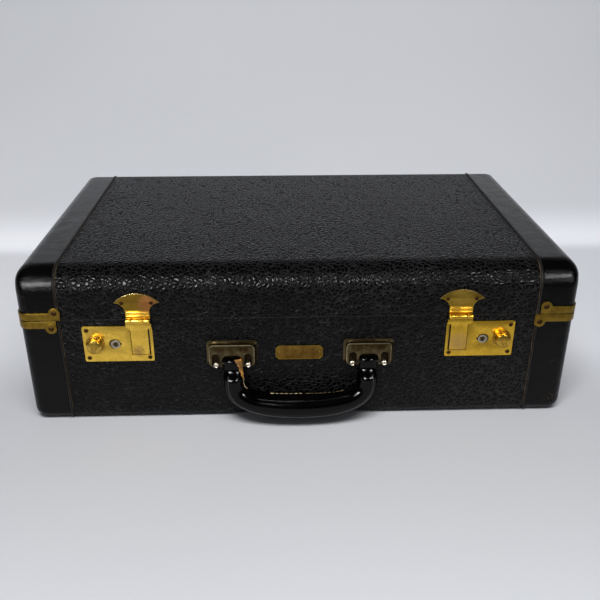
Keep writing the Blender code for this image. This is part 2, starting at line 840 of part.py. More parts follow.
def build_bolt_spring(side_name, side):
    """A bent leaf: down the outer wall of the case, over to the bolt's arm."""
    name = "bolt_spring_" + side_name
    room = LOCK_CASE_WALL + GAP + SPRING_THICKNESS / 2
    wall_x = side * (LOCK_X + LOCK_CASE_WIDTH / 2 - room)
    top_z = LOCK_Z + LOCK_CASE_HEIGHT / 2 - room
    arm_top = bolt_arm_top() + GAP + SPRING_THICKNESS
    path = [
        (wall_x, top_z - SPRING_DROP),
        (wall_x, top_z),
        (button_x(side) + side * BOLT_ARM_WIDTH / 2, top_z),
        (button_x(side), arm_top),
    ]
    width = BOLT_THICKNESS
    stand = Matrix.Rotation(math.pi / 2, 4, "X")
    place = Matrix.Translation((0, BOLT_FRONT + width / 2, 0))
    mesh = ribbon_mesh(name, path, width, place @ stand)
    spring = add_object(name, mesh, steel)
    solidify(spring, SPRING_THICKNESS, 0)
    return spring


def bolt_arm_top():
    return LOCK_Z + STEM_RADIUS + NOTCH_CLEARANCE


def build_button(side_name, side):
    """The knob with its stem, and the sheet bolt that the stem pushes."""
    place = Vector((button_x(side), PLATE_FRONT - GAP, LOCK_Z))
    empty = joint_empty("button_joint_" + side_name, place)
    stem = place.y - (BOLT_FRONT - GAP)
    drum_top = BUTTON_RING_HEIGHT + BUTTON_DRUM_HEIGHT
    chamfer = BUTTON_DOME
    profile = [
        (0, drum_top + BUTTON_DOME),
        (BUTTON_DRUM_RADIUS / 2, drum_top + BUTTON_DOME * 3 / 4),
        (BUTTON_DRUM_RADIUS - chamfer, drum_top),
        (BUTTON_DRUM_RADIUS, drum_top - chamfer),
        (BUTTON_DRUM_RADIUS, BUTTON_RING_HEIGHT),
        (BUTTON_RING_RADIUS - chamfer / 2, BUTTON_RING_HEIGHT),
        (BUTTON_RING_RADIUS, BUTTON_RING_HEIGHT - chamfer / 2),
        (BUTTON_RING_RADIUS, 0),
        (STEM_RADIUS, 0),
        (STEM_RADIUS, stem),
        (0, stem),
    ]
    button = turned("button_" + side_name, profile, place, 1, brass)
    bolt = build_bolt("bolt_" + side_name, side)
    body_of(empty, button, bolt)
    return empty


def build_bolt(name, side):
    """A bar under the key core, an arm up to the stem and a nose at the catch."""
    nose_x = HASP_X + CATCH_THICKNESS / 2 + BOLT_NOSE_GAP
    arm_x = nose_x + BOLT_NOSE_LENGTH
    core_edge = LOCK_X + CORE_FROM_LOCK - CORE_RADIUS
    arm_end = arm_x + (core_edge - arm_x) * BOLT_NOSE_ARM_SHARE
    far_x = LOCK_X + BUTTON_FROM_LOCK + BOLT_ARM_WIDTH / 2
    near_arm = far_x - BOLT_ARM_WIDTH
    bar_top = LOCK_Z - CORE_RADIUS - POINTER_HALF_WIDTH / 2
    bar_low = bar_top - BOLT_BAR_HEIGHT
    nose_low = LOCK_Z - BOLT_NOSE_HEIGHT / 2
    nose_top = LOCK_Z + BOLT_NOSE_HEIGHT / 2
    outline = [
        (arm_x, bar_low),
        (far_x, bar_low),
        (far_x, bolt_arm_top()),
        (near_arm, bolt_arm_top()),
        (near_arm, bar_top),
        (arm_end, bar_top),
        (arm_end, nose_top),
        (nose_x, nose_top),
        (nose_x, nose_low),
        (arm_x, nose_low),
    ]
    outline = [(side * x, z) for x, z in outline]
    return upright_plate(name, outline, BOLT_FRONT + BOLT_THICKNESS, BOLT_FRONT, steel)


def build_lock_core(side_name, side):
    """The turning core with its keyhole in front and its cam behind the bolt."""
    place = Vector((core_x(side), PLATE_FRONT - CORE_PROUD, LOCK_Z))
    empty = joint_empty("core_joint_" + side_name, place)
    chamfer = CORE_PROUD / 2
    profile = [
        (0, 0),
        (CORE_RADIUS - chamfer, 0),
        (CORE_RADIUS, -chamfer),
        (CORE_RADIUS, -CORE_LENGTH),
        (0, -CORE_LENGTH),
    ]
    core = turned("lock_core_" + side_name, profile, place, 1, steel)
    front = place.y
    hole = rods_cutter(
        "keyhole_round_" + side_name,
        [
            (
                (place.x, front - OVERRUN, LOCK_Z),
                (place.x, front + KEYHOLE_DEPTH, LOCK_Z),
                KEYHOLE_RADIUS,
            )
        ],
    )
    half = KEYHOLE_SLOT / 2
    slot = block_cutter(
        "keyhole_slot_" + side_name,
        (place.x - half, front - OVERRUN, LOCK_Z - KEYHOLE_LENGTH),
        (place.x + half, front + KEYHOLE_DEPTH, LOCK_Z),
    )
    cut(core, hole)
    cut(core, slot)
    rear = front + CORE_LENGTH
    ends = sorted((place.x, place.x - side * CAM_LENGTH))
    cam = block_cutter(
        "cam_" + side_name,
        (ends[0], rear - CAM_THICKNESS - LOCK_CASE_WALL / 2, LOCK_Z - CAM_WIDTH / 2),
        (ends[1], rear - LOCK_CASE_WALL / 2, LOCK_Z + CAM_WIDTH / 2),
    )
    join(core, cam)
    body_of(empty, core)
    return empty


# Hasps.


def hasp_axis():
    """The hasp's hinge axis, as (y, z)."""
    return FRONT - KNUCKLE_STANDOFF - KNUCKLE_RADIUS, BASE_HEIGHT


def fan_outline(x):
    """The fan plate, from the seam up, drawn as (x, z)."""
    half_neck = NECK_WIDTH / 2
    half_fan = FAN_WIDTH / 2
    rise = FAN_APEX - FAN_TIP
    radius = (half_fan**2 + rise**2) / (2 * rise)
    spread = math.degrees(math.asin(half_fan / radius))
    neck = (half_neck, NECK_TOP)
    tip = (half_fan, FAN_TIP)
    pull = (half_neck + (half_fan - half_neck) * FAN_CURVE_SHARE, FAN_TIP)
    side = []
    for step in range(EDGE_STEPS):
        t = step / EDGE_STEPS
        weights = ((1 - t) ** 2, 2 * t * (1 - t), t**2)
        side.append(
            tuple(
                sum(w * p[i] for w, p in zip(weights, (neck, pull, tip)))
                for i in range(2)
            )
        )
    right = [(half_neck, LID_RIM), *side]
    top = arc((0, FAN_APEX - radius), radius, 90 - spread, 90 + spread, 2 * EDGE_STEPS)
    left = [(-px, pz) for px, pz in reversed(right)]
    return [(x + px, pz) for px, pz in right + top + left]


def build_hasp_plate(side_name, side):
    """The fan plate on the lid with its two outer knuckles, and the hinge pin."""
    x = side * HASP_X
    y, z = hasp_axis()
    name = "hasp_plate_" + side_name
    plate = upright_plate(name, fan_outline(x), PLATE_BACK, PLATE_BACK - HASP_SHEET, brass)
    half = NECK_WIDTH / 2
    middle = HASP_KNUCKLE_WIDTH / 2 + KNUCKLE_CLEARANCE
    room = KNUCKLE_RADIUS + KNUCKLE_CLEARANCE
    cut(plate, rods_cutter(name + "_relief", [((x - middle, y, z), (x + middle, y, z), room)]))
    knuckles = [
        ((x - half, y, z), (x - middle, y, z), KNUCKLE_RADIUS),
        ((x + middle, y, z), (x + half, y, z), KNUCKLE_RADIUS),
    ]
    join(plate, rods_cutter(name + "_knuckles", knuckles))
    beads = []
    for height in (BASE_HEIGHT + rise for rise in BEAD_RISES):
        start = (x - half + HASP_SHEET / 2, PLATE_BACK - HASP_SHEET, height)
        end = (x + half - HASP_SHEET / 2, PLATE_BACK - HASP_SHEET, height)
        beads.append((start, end, BEAD_RADIUS - NAIL_CLEARANCE))
    join(plate, rods_cutter(name + "_beads", beads))
    bore = HASP_PIN_RADIUS + KNUCKLE_CLEARANCE
    ends = ((x - half - OVERRUN, y, z), (x + half + OVERRUN, y, z))
    cut(plate, rods_cutter(name + "_bore", [(*ends, bore)]))
    pin_name = "hasp_pin_" + side_name
    rod = ((x - half, y, z), (x + half, y, z), HASP_PIN_RADIUS)
    pin = add_object(pin_name, rods_mesh(pin_name, [rod]), steel)
    pieces = [plate, pin]
    for nail_name, nail_side in (("outer", side), ("inner", -side)):
        place = (x + nail_side * FAN_NAIL_SPACING / 2, FAN_TIP)
        nail_hole(plate, f"{name}_nail_hole_{nail_name}", place)
        full = f"hasp_nail_{side_name}_{nail_name}"
        pieces.append(nail(full, place, PLATE_BACK - HASP_SHEET, dull_brass))
    return pieces


def build_hasp(side_name, side, lid):
    """The swinging hasp: a tongue in the lock plate, shoulders and a knuckle."""
    x = side * HASP_X
    y, z = hasp_axis()
    name = "hasp_" + side_name
    empty = joint_empty("hasp_joint_" + side_name, (x, y, z), lid)
    half_tongue = TONGUE_WIDTH / 2
    half_hasp = HASP_WIDTH / 2
    over = PLATE_FRONT - GAP
    top = z - KNUCKLE_RADIUS - KNUCKLE_CLEARANCE - GAP
    shoulder = [
        (x - half_tongue, SHOULDER_BOTTOM),
        (x + half_tongue, SHOULDER_BOTTOM),
        (x + half_hasp, SHOULDER_BOTTOM + SHOULDER_SIDE * 3 / 4),
        (x + half_hasp, top),
        (x - half_hasp, top),
        (x - half_hasp, SHOULDER_BOTTOM + SHOULDER_SIDE * 3 / 4),
    ]
    hasp = upright_plate(name, shoulder, over, over - HASP_SHEET, brass)
    low = (x - half_tongue, TONGUE_BOTTOM)
    high = (x + half_tongue, top - GAP)
    tongue = rounded_rectangle(low, high, TONGUE_CORNER, 2)
    front = PLATE_FRONT
    join(hasp, upright_helper(name + "_tongue", tongue, PLATE_BACK, front))
    inset = GAP
    root = block_cutter(
        name + "_root",
        (low[0] + inset, over - HASP_SHEET + inset, SHOULDER_BOTTOM + inset),
        (high[0] - inset, PLATE_BACK - inset, top - 2 * inset),
    )
    join(hasp, root)
    half = HASP_KNUCKLE_WIDTH / 2
    link = block_cutter(
        name + "_link",
        (x - half, over - HASP_SHEET + inset, SHOULDER_BOTTOM + SHOULDER_SIDE),
        (x + half, over - inset, z),
    )
    join(hasp, link)
    knuckle = ((x - half, y, z), (x + half, y, z), KNUCKLE_RADIUS)
    join(hasp, rods_cutter(name + "_knuckle", [knuckle]))
    bore = HASP_PIN_RADIUS + KNUCKLE_CLEARANCE
    ends = ((x - half_hasp, y, z), (x + half_hasp, y, z))
    cut(hasp, rods_cutter(name + "_bore", [(*ends, bore)]))
    half_catch = CATCH_THICKNESS / 2
    half_height = CATCH_HEIGHT / 2
    catch = block_cutter(
        name + "_catch",
        (x - half_catch, PLATE_BACK - HASP_SHEET / 2, LOCK_Z - half_height),
        (x + half_catch, PLATE_BACK + CATCH_DEPTH, LOCK_Z + half_height),
    )
    join(hasp, catch)
    eye_y = BOLT_FRONT + BOLT_THICKNESS / 2
    eye = block_cutter(
        name + "_eye",
        (x - CATCH_DEPTH, eye_y - CATCH_EYE_DEPTH / 2, LOCK_Z - CATCH_EYE_HEIGHT / 2),
        (x + CATCH_DEPTH, eye_y + CATCH_EYE_DEPTH / 2, LOCK_Z + CATCH_EYE_HEIGHT / 2),
    )
    cut(hasp, eye)
    body_of(empty, hasp)
    return empty


# The handle and its brackets.


def build_bracket(side_name, side):
    """A flanged plate with a hood over the pin, open where the grip comes in."""
    x = side * BRACKET_X
    name = "handle_bracket_" + side_name
    half = BRACKET_WIDTH / 2
    top = BRACKET_BOTTOM + BRACKET_HEIGHT
    front = PLATE_BACK - BRACKET_THICKNESS
    flange = rounded_rectangle((x - half, BRACKET_BOTTOM), (x + half, top), BRACKET_CORNER)
    bracket = upright_plate(name, flange, PLATE_BACK, front, antique)
    half_hood = HOOD_WIDTH / 2
    hood_low = (x - half_hood, BRACKET_BOTTOM + HOOD_TOP_MARGIN / 2)
    hood_high = (x + half_hood, top - HOOD_TOP_MARGIN)
    outline = rounded_rectangle(hood_low, hood_high, HOOD_CORNER)
    crown = front - HOOD_DEPTH
    hood = upright_helper(name + "_hood", outline, front + BRACKET_THICKNESS / 2, crown)
    bevel = hood.modifiers.new("rounded edge", "BEVEL")
    bevel.width = HOOD_BEVEL
    bevel.segments = 2
    bevel.limit_method = "ANGLE"
    bevel.angle_limit = math.radians(60)
    join(bracket, hood)
    half_arch = ARCH_WIDTH / 2
    arch = rounded_rectangle(
        (x - half_arch, BRACKET_BOTTOM - BRACKET_HEIGHT), (x + half_arch, ARCH_TOP), ARCH_RADIUS
    )
    cut(bracket, upright_helper(name + "_arch", arch, front, crown - OVERRUN))
    half_pocket = STUD_POCKET_WIDTH / 2
    for stud_name, stud_side in (("outer", side), ("inner", -side)):
        stud_x = x + stud_side * STUD_SPACING / 2
        pocket = rounded_rectangle(
            (stud_x - half_pocket, BRACKET_BOTTOM - BRACKET_HEIGHT),
            (stud_x + half_pocket, STUD_POCKET_TOP),
            half_pocket - GAP,
        )
        floor = crown + STUD_POCKET_DEPTH
        helper = upright_helper(f"{name}_pocket_{stud_name}", pocket, floor, crown - OVERRUN)
        cut(bracket, helper)
        build_stud(bracket, f"{side_name}_{stud_name}", stud_x, floor)
    pivot_y = FRONT - PIVOT_STANDOFF
    reach = HANDLE_PIN_LENGTH / 2 + GAP
    bore = ((x - reach, pivot_y, PIVOT_Z), (x + reach, pivot_y, PIVOT_Z), HANDLE_PIN_RADIUS + GAP)
    cut(bracket, rods_cutter(name + "_bore", [bore]))
    return bracket


def build_stud(bracket, tail, x, floor):
    """A round-headed rivet in the hood's pocket."""
    head = floor - GAP
    shank = head - PLATE_BACK
    start = (x, FRONT, STUD_Z)
    end = (x, floor - OVERRUN, STUD_Z)
    hole = rods_cutter("stud_hole_" + tail, [(start, end, STUD_SHANK + GAP)])
    cut(bracket, hole)
    profile = dome(STUD_RADIUS, STUD_HEIGHT)
    profile += [(STUD_SHANK, 0), (STUD_SHANK, shank), (0, shank)]
    return turned("bracket_stud_" + tail, profile, (x, head, STUD_Z), 1, steel, ROD_SIDES)


def grip_stations():
    """Stations of the left half of the grip: (x, standoff, z, half width, half depth, turn)."""
    stations = []
    for share in END_SHARES:
        depth = math.sqrt(1 - (share * share) ** 2) * END_HALF_THICKNESS
        depth = max(depth, END_HALF_THICKNESS / 3)
        width = END_HALF_WIDTH - END_HALF_THICKNESS / 3 * share**4
        stations.append((-LEG_X, PIVOT_STANDOFF, PIVOT_Z + END_REACH * share, width, depth, 0))
    swell_top = PIVOT_Z - END_REACH
    bend_top = PIVOT_Z - GRIP_DROP + BEND_HEIGHT
    end = (PIVOT_STANDOFF, END_HALF_WIDTH, END_HALF_THICKNESS)
    leg = (LEG_STANDOFF, LEG_HALF_WIDTH, LEG_HALF_DEPTH)
    middle = (GRIP_STANDOFF, GRIP_HALF_HEIGHT, GRIP_HALF_DEPTH)
    for step in range(EDGE_STEPS):
        t = step / (EDGE_STEPS - 1)
        ease = t * t * (3 - 2 * t)
        z = swell_top - (swell_top - bend_top) * t
        standoff, width, depth = (a + (b - a) * ease for a, b in zip(end, leg))
        stations.append((-LEG_X, standoff, z, width, depth, 0))
    for step in range(1, BEND_STEPS):
        angle = math.pi / 2 * step / BEND_STEPS
        out = math.cos(angle) ** (2 / BEND_POWER)
        down = math.sin(angle) ** (2 / BEND_POWER)
        standoff, width, depth = (a + (b - a) * (1 - out**2) for a, b in zip(leg, middle))
        slope = BEND_POWER - 1
        turn = math.atan2(down**slope / BEND_HEIGHT, out**slope / LEG_X)
        stations.append((-LEG_X * out, standoff, bend_top - BEND_HEIGHT * down, width, depth, turn))
    return stations


def build_grip():
    """The stuffed leather grip, lofted through ovals from end to end."""
    left = grip_stations()
    right = [(-x, off, z, w, d, math.pi - turn) for x, off, z, w, d, turn in reversed(left)]
    body = bmesh.new()
    loops = []
    for x, standoff, z, width, depth, turn in left + right:
        loop = []
        for i in range(GRIP_SIDES):
            angle = 2 * math.pi * i / GRIP_SIDES
            across = width * math.cos(angle)
            place = (
                x + across * math.cos(turn),
                FRONT - standoff + depth * math.sin(angle),
                z + across * math.sin(turn),
            )
            loop.append(body.verts.new(place))
        loops.append(loop)
    body.faces.new(loops[0])
    body.faces.new(loops[-1])
    for first, second in zip(loops, loops[1:]):
        for i in range(GRIP_SIDES):
            after = (i + 1) % GRIP_SIDES
            body.faces.new((first[i], first[after], second[after], second[i]))
    return add_object("handle_grip", mesh_from("handle_grip", body), leather)


def build_handle():
    pivot_y = FRONT - PIVOT_STANDOFF
    empty = joint_empty("handle_joint", (0, pivot_y, PIVOT_Z))
    grip = build_grip()
    pieces = [grip]
    for side_name, side in SIDES:
        name = "handle_pin_" + side_name
        x = side * BRACKET_X
        half = HANDLE_PIN_LENGTH / 2
        ends = ((x - half, pivot_y, PIVOT_Z), (x + half, pivot_y, PIVOT_Z))
        pieces.append(add_object(name, rods_mesh(name, [(*ends, HANDLE_PIN_RADIUS)]), steel))
        cut(grip, rods_cutter(name + "_hole", [(*ends, HANDLE_PIN_RADIUS + GAP)]))
    body_of(empty, *pieces)
    return empty


# The lid and the back hinges.


def hinge_axis():
    """The lid's hinge axis, as (y, z)."""
    return BACK + HINGE_STANDOFF, BASE_HEIGHT


def leaf_outline(x, seam_z, free_z):
    """A hinge leaf, square at the seam and rounded at its free end."""
    half = HINGE_WIDTH / 2
    away = math.copysign(1, free_z - seam_z)
    centre_z = free_z - away * HINGE_CORNER
    reach = half - HINGE_CORNER
    points = [(x - half, seam_z), (x + half, seam_z)]
    points += arc((x + reach, centre_z), HINGE_CORNER, 0, 90 * away, CORNER_STEPS)
    points += arc((x - reach, centre_z), HINGE_CORNER, 90 * away, 180 * away, CORNER_STEPS)
    return points


def build_hinge(side_name, side):
    """Two leaves with interleaved knuckles on one pin."""
    x = side * HINGE_X
    y, z = hinge_axis()
    half = HINGE_WIDTH / 2
    step = HINGE_WIDTH / HINGE_SEGMENTS
    own = {"base": [], "lid": []}
    relief = {"base": [], "lid": []}
    room = HINGE_KNUCKLE_RADIUS + GAP
    trim = KNUCKLE_CLEARANCE
    for i in range(HINGE_SEGMENTS):
        first, second = ("base", "lid") if i % 2 == 0 else ("lid", "base")
        start = x - half + i * step
        span = ((start + trim, y, z), (start + step - trim, y, z))
        own[first].append((*span, HINGE_KNUCKLE_RADIUS))
        wide = ((start - trim / 2, y, z), (start + step + trim / 2, y, z))
        relief[second].append((*wide, room))
    leaves = []
    heights = {
        "base": (BASE_RIM, BASE_RIM - HINGE_LEAF_HEIGHT),
        "lid": (LID_RIM, LID_RIM + HINGE_LEAF_HEIGHT),
    }
    inner = BACK + GAP
    for part, (seam_z, free_z) in heights.items():
        name = f"hinge_{part}_{side_name}"
        outline = leaf_outline(x, seam_z, free_z)
        leaf = upright_plate(name, outline, inner + HINGE_SHEET, inner, dull_brass)
        cut(leaf, rods_cutter(name + "_relief", relief[part]))
        join(leaf, rods_cutter(name + "_knuckles", own[part]))
        bore = ((x - HINGE_WIDTH, y, z), (x + HINGE_WIDTH, y, z), HINGE_PIN_RADIUS + GAP)
        cut(leaf, rods_cutter(name + "_bore", [bore]))
        leaves.append(leaf)
    name = "hinge_pin_" + side_name
    rod = ((x - half, y, z), (x + half, y, z), HINGE_PIN_RADIUS)
    pin = add_object(name, rods_mesh(name, [rod]), steel)
    return leaves, pin


def build_lid():
    y, z = hinge_axis()
    lid = joint_empty("lid_joint", (0, y, z))
    pieces = [pan("lid_shell", lid_rings(SHELL_INSET), WALL, plywood)]
    pieces += covering("lid", lid_rings(0))
    pieces.append(pan("lid_lining", lid_rings(LINING_INSET), LINING, cloth))
    for side_name, side in SIDES:
        pieces.append(welt("lid", side_name, side, TOP, LID_FRONT_RADIUS, LID_EDGE_SHIFT))
        pieces.append(brass_edge("lid", side_name, side, LID_RIM, LID_EDGE_SHIFT))
        pieces += build_hasp_plate(side_name, side)
        leaves, _ = build_hinge(side_name, side)
        pieces.append(leaves[1])
    body_of(lid, *pieces)
    return lid


def main():
    build_base()
    build_inner_lip()
    build_name_plate()
    lid = build_lid()
    for side_name, side in SIDES:
        build_lock(side_name, side)
        build_button(side_name, side)
        build_lock_core(side_name, side)
        build_hasp(side_name, side, lid)
        build_bracket(side_name, side)
    build_handle()


main()
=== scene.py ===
import json
import math
import random

import bmesh
import bpy
from mathutils import Matrix, Vector


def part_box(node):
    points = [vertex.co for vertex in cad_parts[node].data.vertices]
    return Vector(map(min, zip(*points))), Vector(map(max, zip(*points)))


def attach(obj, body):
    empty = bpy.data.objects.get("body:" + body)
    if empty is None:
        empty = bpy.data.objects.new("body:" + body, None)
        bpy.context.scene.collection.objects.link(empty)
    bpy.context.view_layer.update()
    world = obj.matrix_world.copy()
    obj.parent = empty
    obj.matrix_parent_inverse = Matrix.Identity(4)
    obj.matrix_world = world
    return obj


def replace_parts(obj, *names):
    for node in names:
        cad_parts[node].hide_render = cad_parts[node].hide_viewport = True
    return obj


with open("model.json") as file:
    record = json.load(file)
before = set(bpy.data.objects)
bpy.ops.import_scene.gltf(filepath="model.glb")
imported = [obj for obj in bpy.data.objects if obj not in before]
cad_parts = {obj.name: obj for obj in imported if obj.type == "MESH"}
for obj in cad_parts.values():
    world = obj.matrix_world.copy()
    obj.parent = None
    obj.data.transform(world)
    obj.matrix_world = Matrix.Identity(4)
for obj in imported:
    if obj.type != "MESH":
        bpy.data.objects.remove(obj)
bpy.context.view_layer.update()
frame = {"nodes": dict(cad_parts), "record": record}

ends = (("left", -1), ("right", 1))

# the case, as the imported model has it, in metres
case = {
    "halfWidth": 0.2665, "halfDepth": 0.165, "seam": 0.1115, "top": 0.162, "seamGap": 0.0008,
    "corner": 0.010, "cornerShare": 0.6,
    "lidFront": 0.024, "lidSide": 0.0135, "baseFront": 0.010, "baseSide": 0.013,
    "skin": 0.0012, "gap": 0.0003, "weltX": 0.229, "weltRadius": 0.0012,
    "liningInset": 0.0071, "lining": 0.0008,
}
front = -case["halfDepth"]
back = case["halfDepth"]
baseRim = case["seam"] - case["seamGap"] / 2
lidRim = case["seam"] + case["seamGap"] / 2
plateBack = front - case["gap"]


# small helpers for node trees

def node(tree, kind, inputs=None, **settings):
    made = tree.nodes.new(kind)
    for key, value in settings.items():
        setattr(made, key, value)
    for key, value in (inputs or {}).items():
        if isinstance(value, bpy.types.NodeSocket):
            tree.links.new(value, made.inputs[key])
        else:
            made.inputs[key].default_value = value
    return made


def newMaterial(name, **sockets):
    material = bpy.data.materials.new(name)
    material.use_nodes = True
    shader = material.node_tree.nodes["Principled BSDF"]
    for key, value in sockets.items():
        shader.inputs[key.replace("_", " ")].default_value = value
    return material, material.node_tree, shader


def objectPlace(tree):
    return node(tree, "ShaderNodeTexCoord").outputs["Object"]


def noise(tree, vector, scale, detail=3.0, roughness=0.5, output="Fac"):
    inputs = {"Vector": vector, "Scale": scale, "Detail": detail, "Roughness": roughness}
    return node(tree, "ShaderNodeTexNoise", inputs).outputs[output]


def remap(tree, value, low, high, newLow=0.0, newHigh=1.0, smooth=True):
    inputs = {0: value, 1: low, 2: high, 3: newLow, 4: newHigh}
    kind = "SMOOTHSTEP" if smooth else "LINEAR"
    return node(tree, "ShaderNodeMapRange", inputs, interpolation_type=kind).outputs[0]


def maths(tree, operation, first, second=0.0):
    return node(
        tree, "ShaderNodeMath", {0: first, 1: second}, operation=operation, use_clamp=False
    ).outputs[0]


def mixColour(tree, share, first, second, blend="MIX"):
    made = node(tree, "ShaderNodeMix", data_type="RGBA", blend_type=blend)
    for index, value in ((0, share), (6, first), (7, second)):
        if isinstance(value, bpy.types.NodeSocket):
            tree.links.new(value, made.inputs[index])
        elif index == 0:
            made.inputs[0].default_value = value
        else:
            made.inputs[index].default_value = (*value, 1)
    return made.outputs[2]


def bump(tree, height, depth, normal=None, strength=1.0):
    inputs = {"Height": height, "Distance": depth, "Strength": strength}
    if normal is not None:
        inputs["Normal"] = normal
    return node(tree, "ShaderNodeBump", inputs).outputs[0]


def nearPoint(tree, place, point, inner, outer):
    # 1 at the point, 0 from outer on
    away = node(
        tree, "ShaderNodeVectorMath", {0: place, 1: point}, operation="DISTANCE").outputs["Value"]
    return remap(tree, away, inner, outer, 1.0, 0.0)


def stretched(tree, place, scale):
    return node(tree, "ShaderNodeMapping", {"Vector": place, "Scale": scale}).outputs[0]


# finishes

grain = {
    "cell": 1 / 0.0043, "relief": 0.00060, "ior": 1.25,
    "island": (0.0006, 0.00055, 0.0007), "islandHigh": (0.0014, 0.0013, 0.0015),
    "valley": (0.0045, 0.0043, 0.0047), "wornValley": (0.017, 0.0165, 0.0175),
}


def grainedLeather():
    material, tree, shader = newMaterial("grainedLeather", IOR=grain["ior"])
    place = objectPlace(tree)
    wander = noise(tree, place, 160, 2, 0.5, "Color")
    shift = node(
        tree, "ShaderNodeVectorMath", {0: wander, 1: (0.0022, 0.0022, 0.0022)}, operation="MULTIPLY"
    ).outputs[0]
    bent = node(tree, "ShaderNodeVectorMath", {0: place, 1: shift}, operation="ADD").outputs[0]
    edge = node(
        tree, "ShaderNodeTexVoronoi", {"Vector": bent, "Scale": grain["cell"]},
        feature="DISTANCE_TO_EDGE").outputs["Distance"]
    cell = node(
        tree, "ShaderNodeTexVoronoi", {"Vector": bent, "Scale": grain["cell"]}, feature="F1"
    ).outputs["Color"]
    fine = noise(tree, place, 1500, 2)
    island = remap(tree, edge, 0.03, 0.12)
    dome = remap(tree, edge, 0.0, 0.42)
    tone = node(tree, "ShaderNodeSeparateColor", {0: cell}).outputs[0]
    # dust in the grain, more of it towards the base's lower right corner
    corner = nearPoint(tree, place, (0.20, -0.165, 0.03), 0.01, 0.12)
    worn = maths(tree, "MAXIMUM", remap(tree, noise(tree, place, 14, 4, 0.6), 0.48, 0.75), corner)
    valley = mixColour(tree, worn, grain["valley"], grain["wornValley"])
    body = mixColour(tree, tone, grain["island"], grain["islandHigh"])
    tree.links.new(mixColour(tree, island, valley, body), shader.inputs["Base Color"])
    gloss = maths(
        tree, "ADD", remap(tree, island, 0, 1, 0.55, 0.17), maths(tree, "MULTIPLY", fine, 0.14))
    tree.links.new(gloss, shader.inputs["Roughness"])
    height = maths(
        tree, "ADD", maths(tree, "MULTIPLY", island, 0.6), maths(tree, "MULTIPLY", dome, 0.5))
    height = maths(tree, "ADD", height, maths(tree, "MULTIPLY", fine, 0.10))
    low = bump(tree, noise(tree, place, 22, 2), 0.0016, strength=0.5)
    tree.links.new(bump(tree, height, grain["relief"], low), shader.inputs["Normal"])
    return material


def smoothLeather(name, colour, gloss, scuffs=(), waves=0.55):
    material, tree, shader = newMaterial(name, IOR=1.27)
    place = objectPlace(tree)
    cloud = noise(tree, place, 26, 5, 0.6)
    pores = node(
        tree, "ShaderNodeTexVoronoi", {"Vector": place, "Scale": 1150.0}, feature="DISTANCE_TO_EDGE"
    ).outputs["Distance"]
    pores = remap(tree, pores, 0.0, 0.22)
    creases = noise(tree, stretched(tree, place, (1, 2.6, 1.4)), 210, 6, 0.62)
    skin = mixColour(tree, remap(tree, cloud, 0.35, 0.7), colour, tuple(c * 1.9 for c in colour))
    speck = remap(tree, noise(tree, place, 330, 5, 0.7), 0.60, 0.70)
    rough = maths(tree, "ADD", gloss, maths(tree, "MULTIPLY", cloud, 0.12))
    for point, reach, tint in scuffs:
        mask = maths(tree, "MULTIPLY", nearPoint(tree, place, point, reach * 0.15, reach), speck)
        skin = mixColour(tree, mask, skin, tint)
        rough = maths(tree, "ADD", rough, maths(tree, "MULTIPLY", mask, 0.3))
    tree.links.new(skin, shader.inputs["Base Color"])
    tree.links.new(rough, shader.inputs["Roughness"])
    height = maths(tree, "ADD", maths(tree, "MULTIPLY", pores, 0.25), creases)
    soft = bump(tree, noise(tree, place, 55, 3), 0.0011, strength=waves)
    tree.links.new(bump(tree, height, 0.00020 * waves, soft), shader.inputs["Normal"])
    return material


def brassFinish(name, bright, dark, gloss, stainsAndPaintedReflections=(), wornShare=0.5):
    material, tree, shader = newMaterial(name, Metallic=1.0)
    place = objectPlace(tree)
    cloud = noise(tree, place, 120, 6, 0.62)
    spots = remap(tree, noise(tree, place, 620, 4, 0.7), 0.58, 0.72)
    patina = maths(tree, "MULTIPLY", remap(tree, cloud, 0.38, 0.66), wornShare)
    tone = mixColour(tree, patina, bright, dark)
    tone = mixColour(
        tree, maths(tree, "MULTIPLY", spots, 0.55), tone, tuple(c * 0.45 for c in dark))
    rough = maths(tree, "ADD", gloss, maths(tree, "MULTIPLY", cloud, 0.2))
    # real stains, and on the brackets a painted reflection, mixed in near given points
    for point, reach, tint, strength in stainsAndPaintedReflections:
        edge = maths(tree, "MULTIPLY", nearPoint(tree, place, point, reach * 0.35, reach), strength)
        edge = maths(
            tree, "MULTIPLY", edge,
            remap(tree, noise(tree, place, 300, 5, 0.65), 0.30, 0.62, 0.35, 1.0))
        tone = mixColour(tree, edge, tone, tint)
        rough = maths(tree, "ADD", rough, maths(tree, "MULTIPLY", edge, 0.15))
    scratch = noise(tree, stretched(tree, place, (1, 1, 9)), 700, 4, 0.7)
    tree.links.new(tone, shader.inputs["Base Color"])
    tree.links.new(rough, shader.inputs["Roughness"])
    soft = bump(tree, noise(tree, place, 140, 2), 0.0004, strength=0.5)
    tree.links.new(bump(tree, scratch, 0.00003, soft), shader.inputs["Normal"])
    return material


def threadFinish(name, colour):
    material, tree, shader = newMaterial(name, Roughness=0.8)
    place = objectPlace(tree)
    fibre = noise(tree, place, 2600, 3)
    dirt = remap(tree, noise(tree, place, 180, 4), 0.40, 0.62)
    tree.links.new(
        mixColour(tree, dirt, colour, tuple(c * 0.35 for c in colour)), shader.inputs["Base Color"])
    tree.links.new(bump(tree, fibre, 0.0002), shader.inputs["Normal"])
    return material


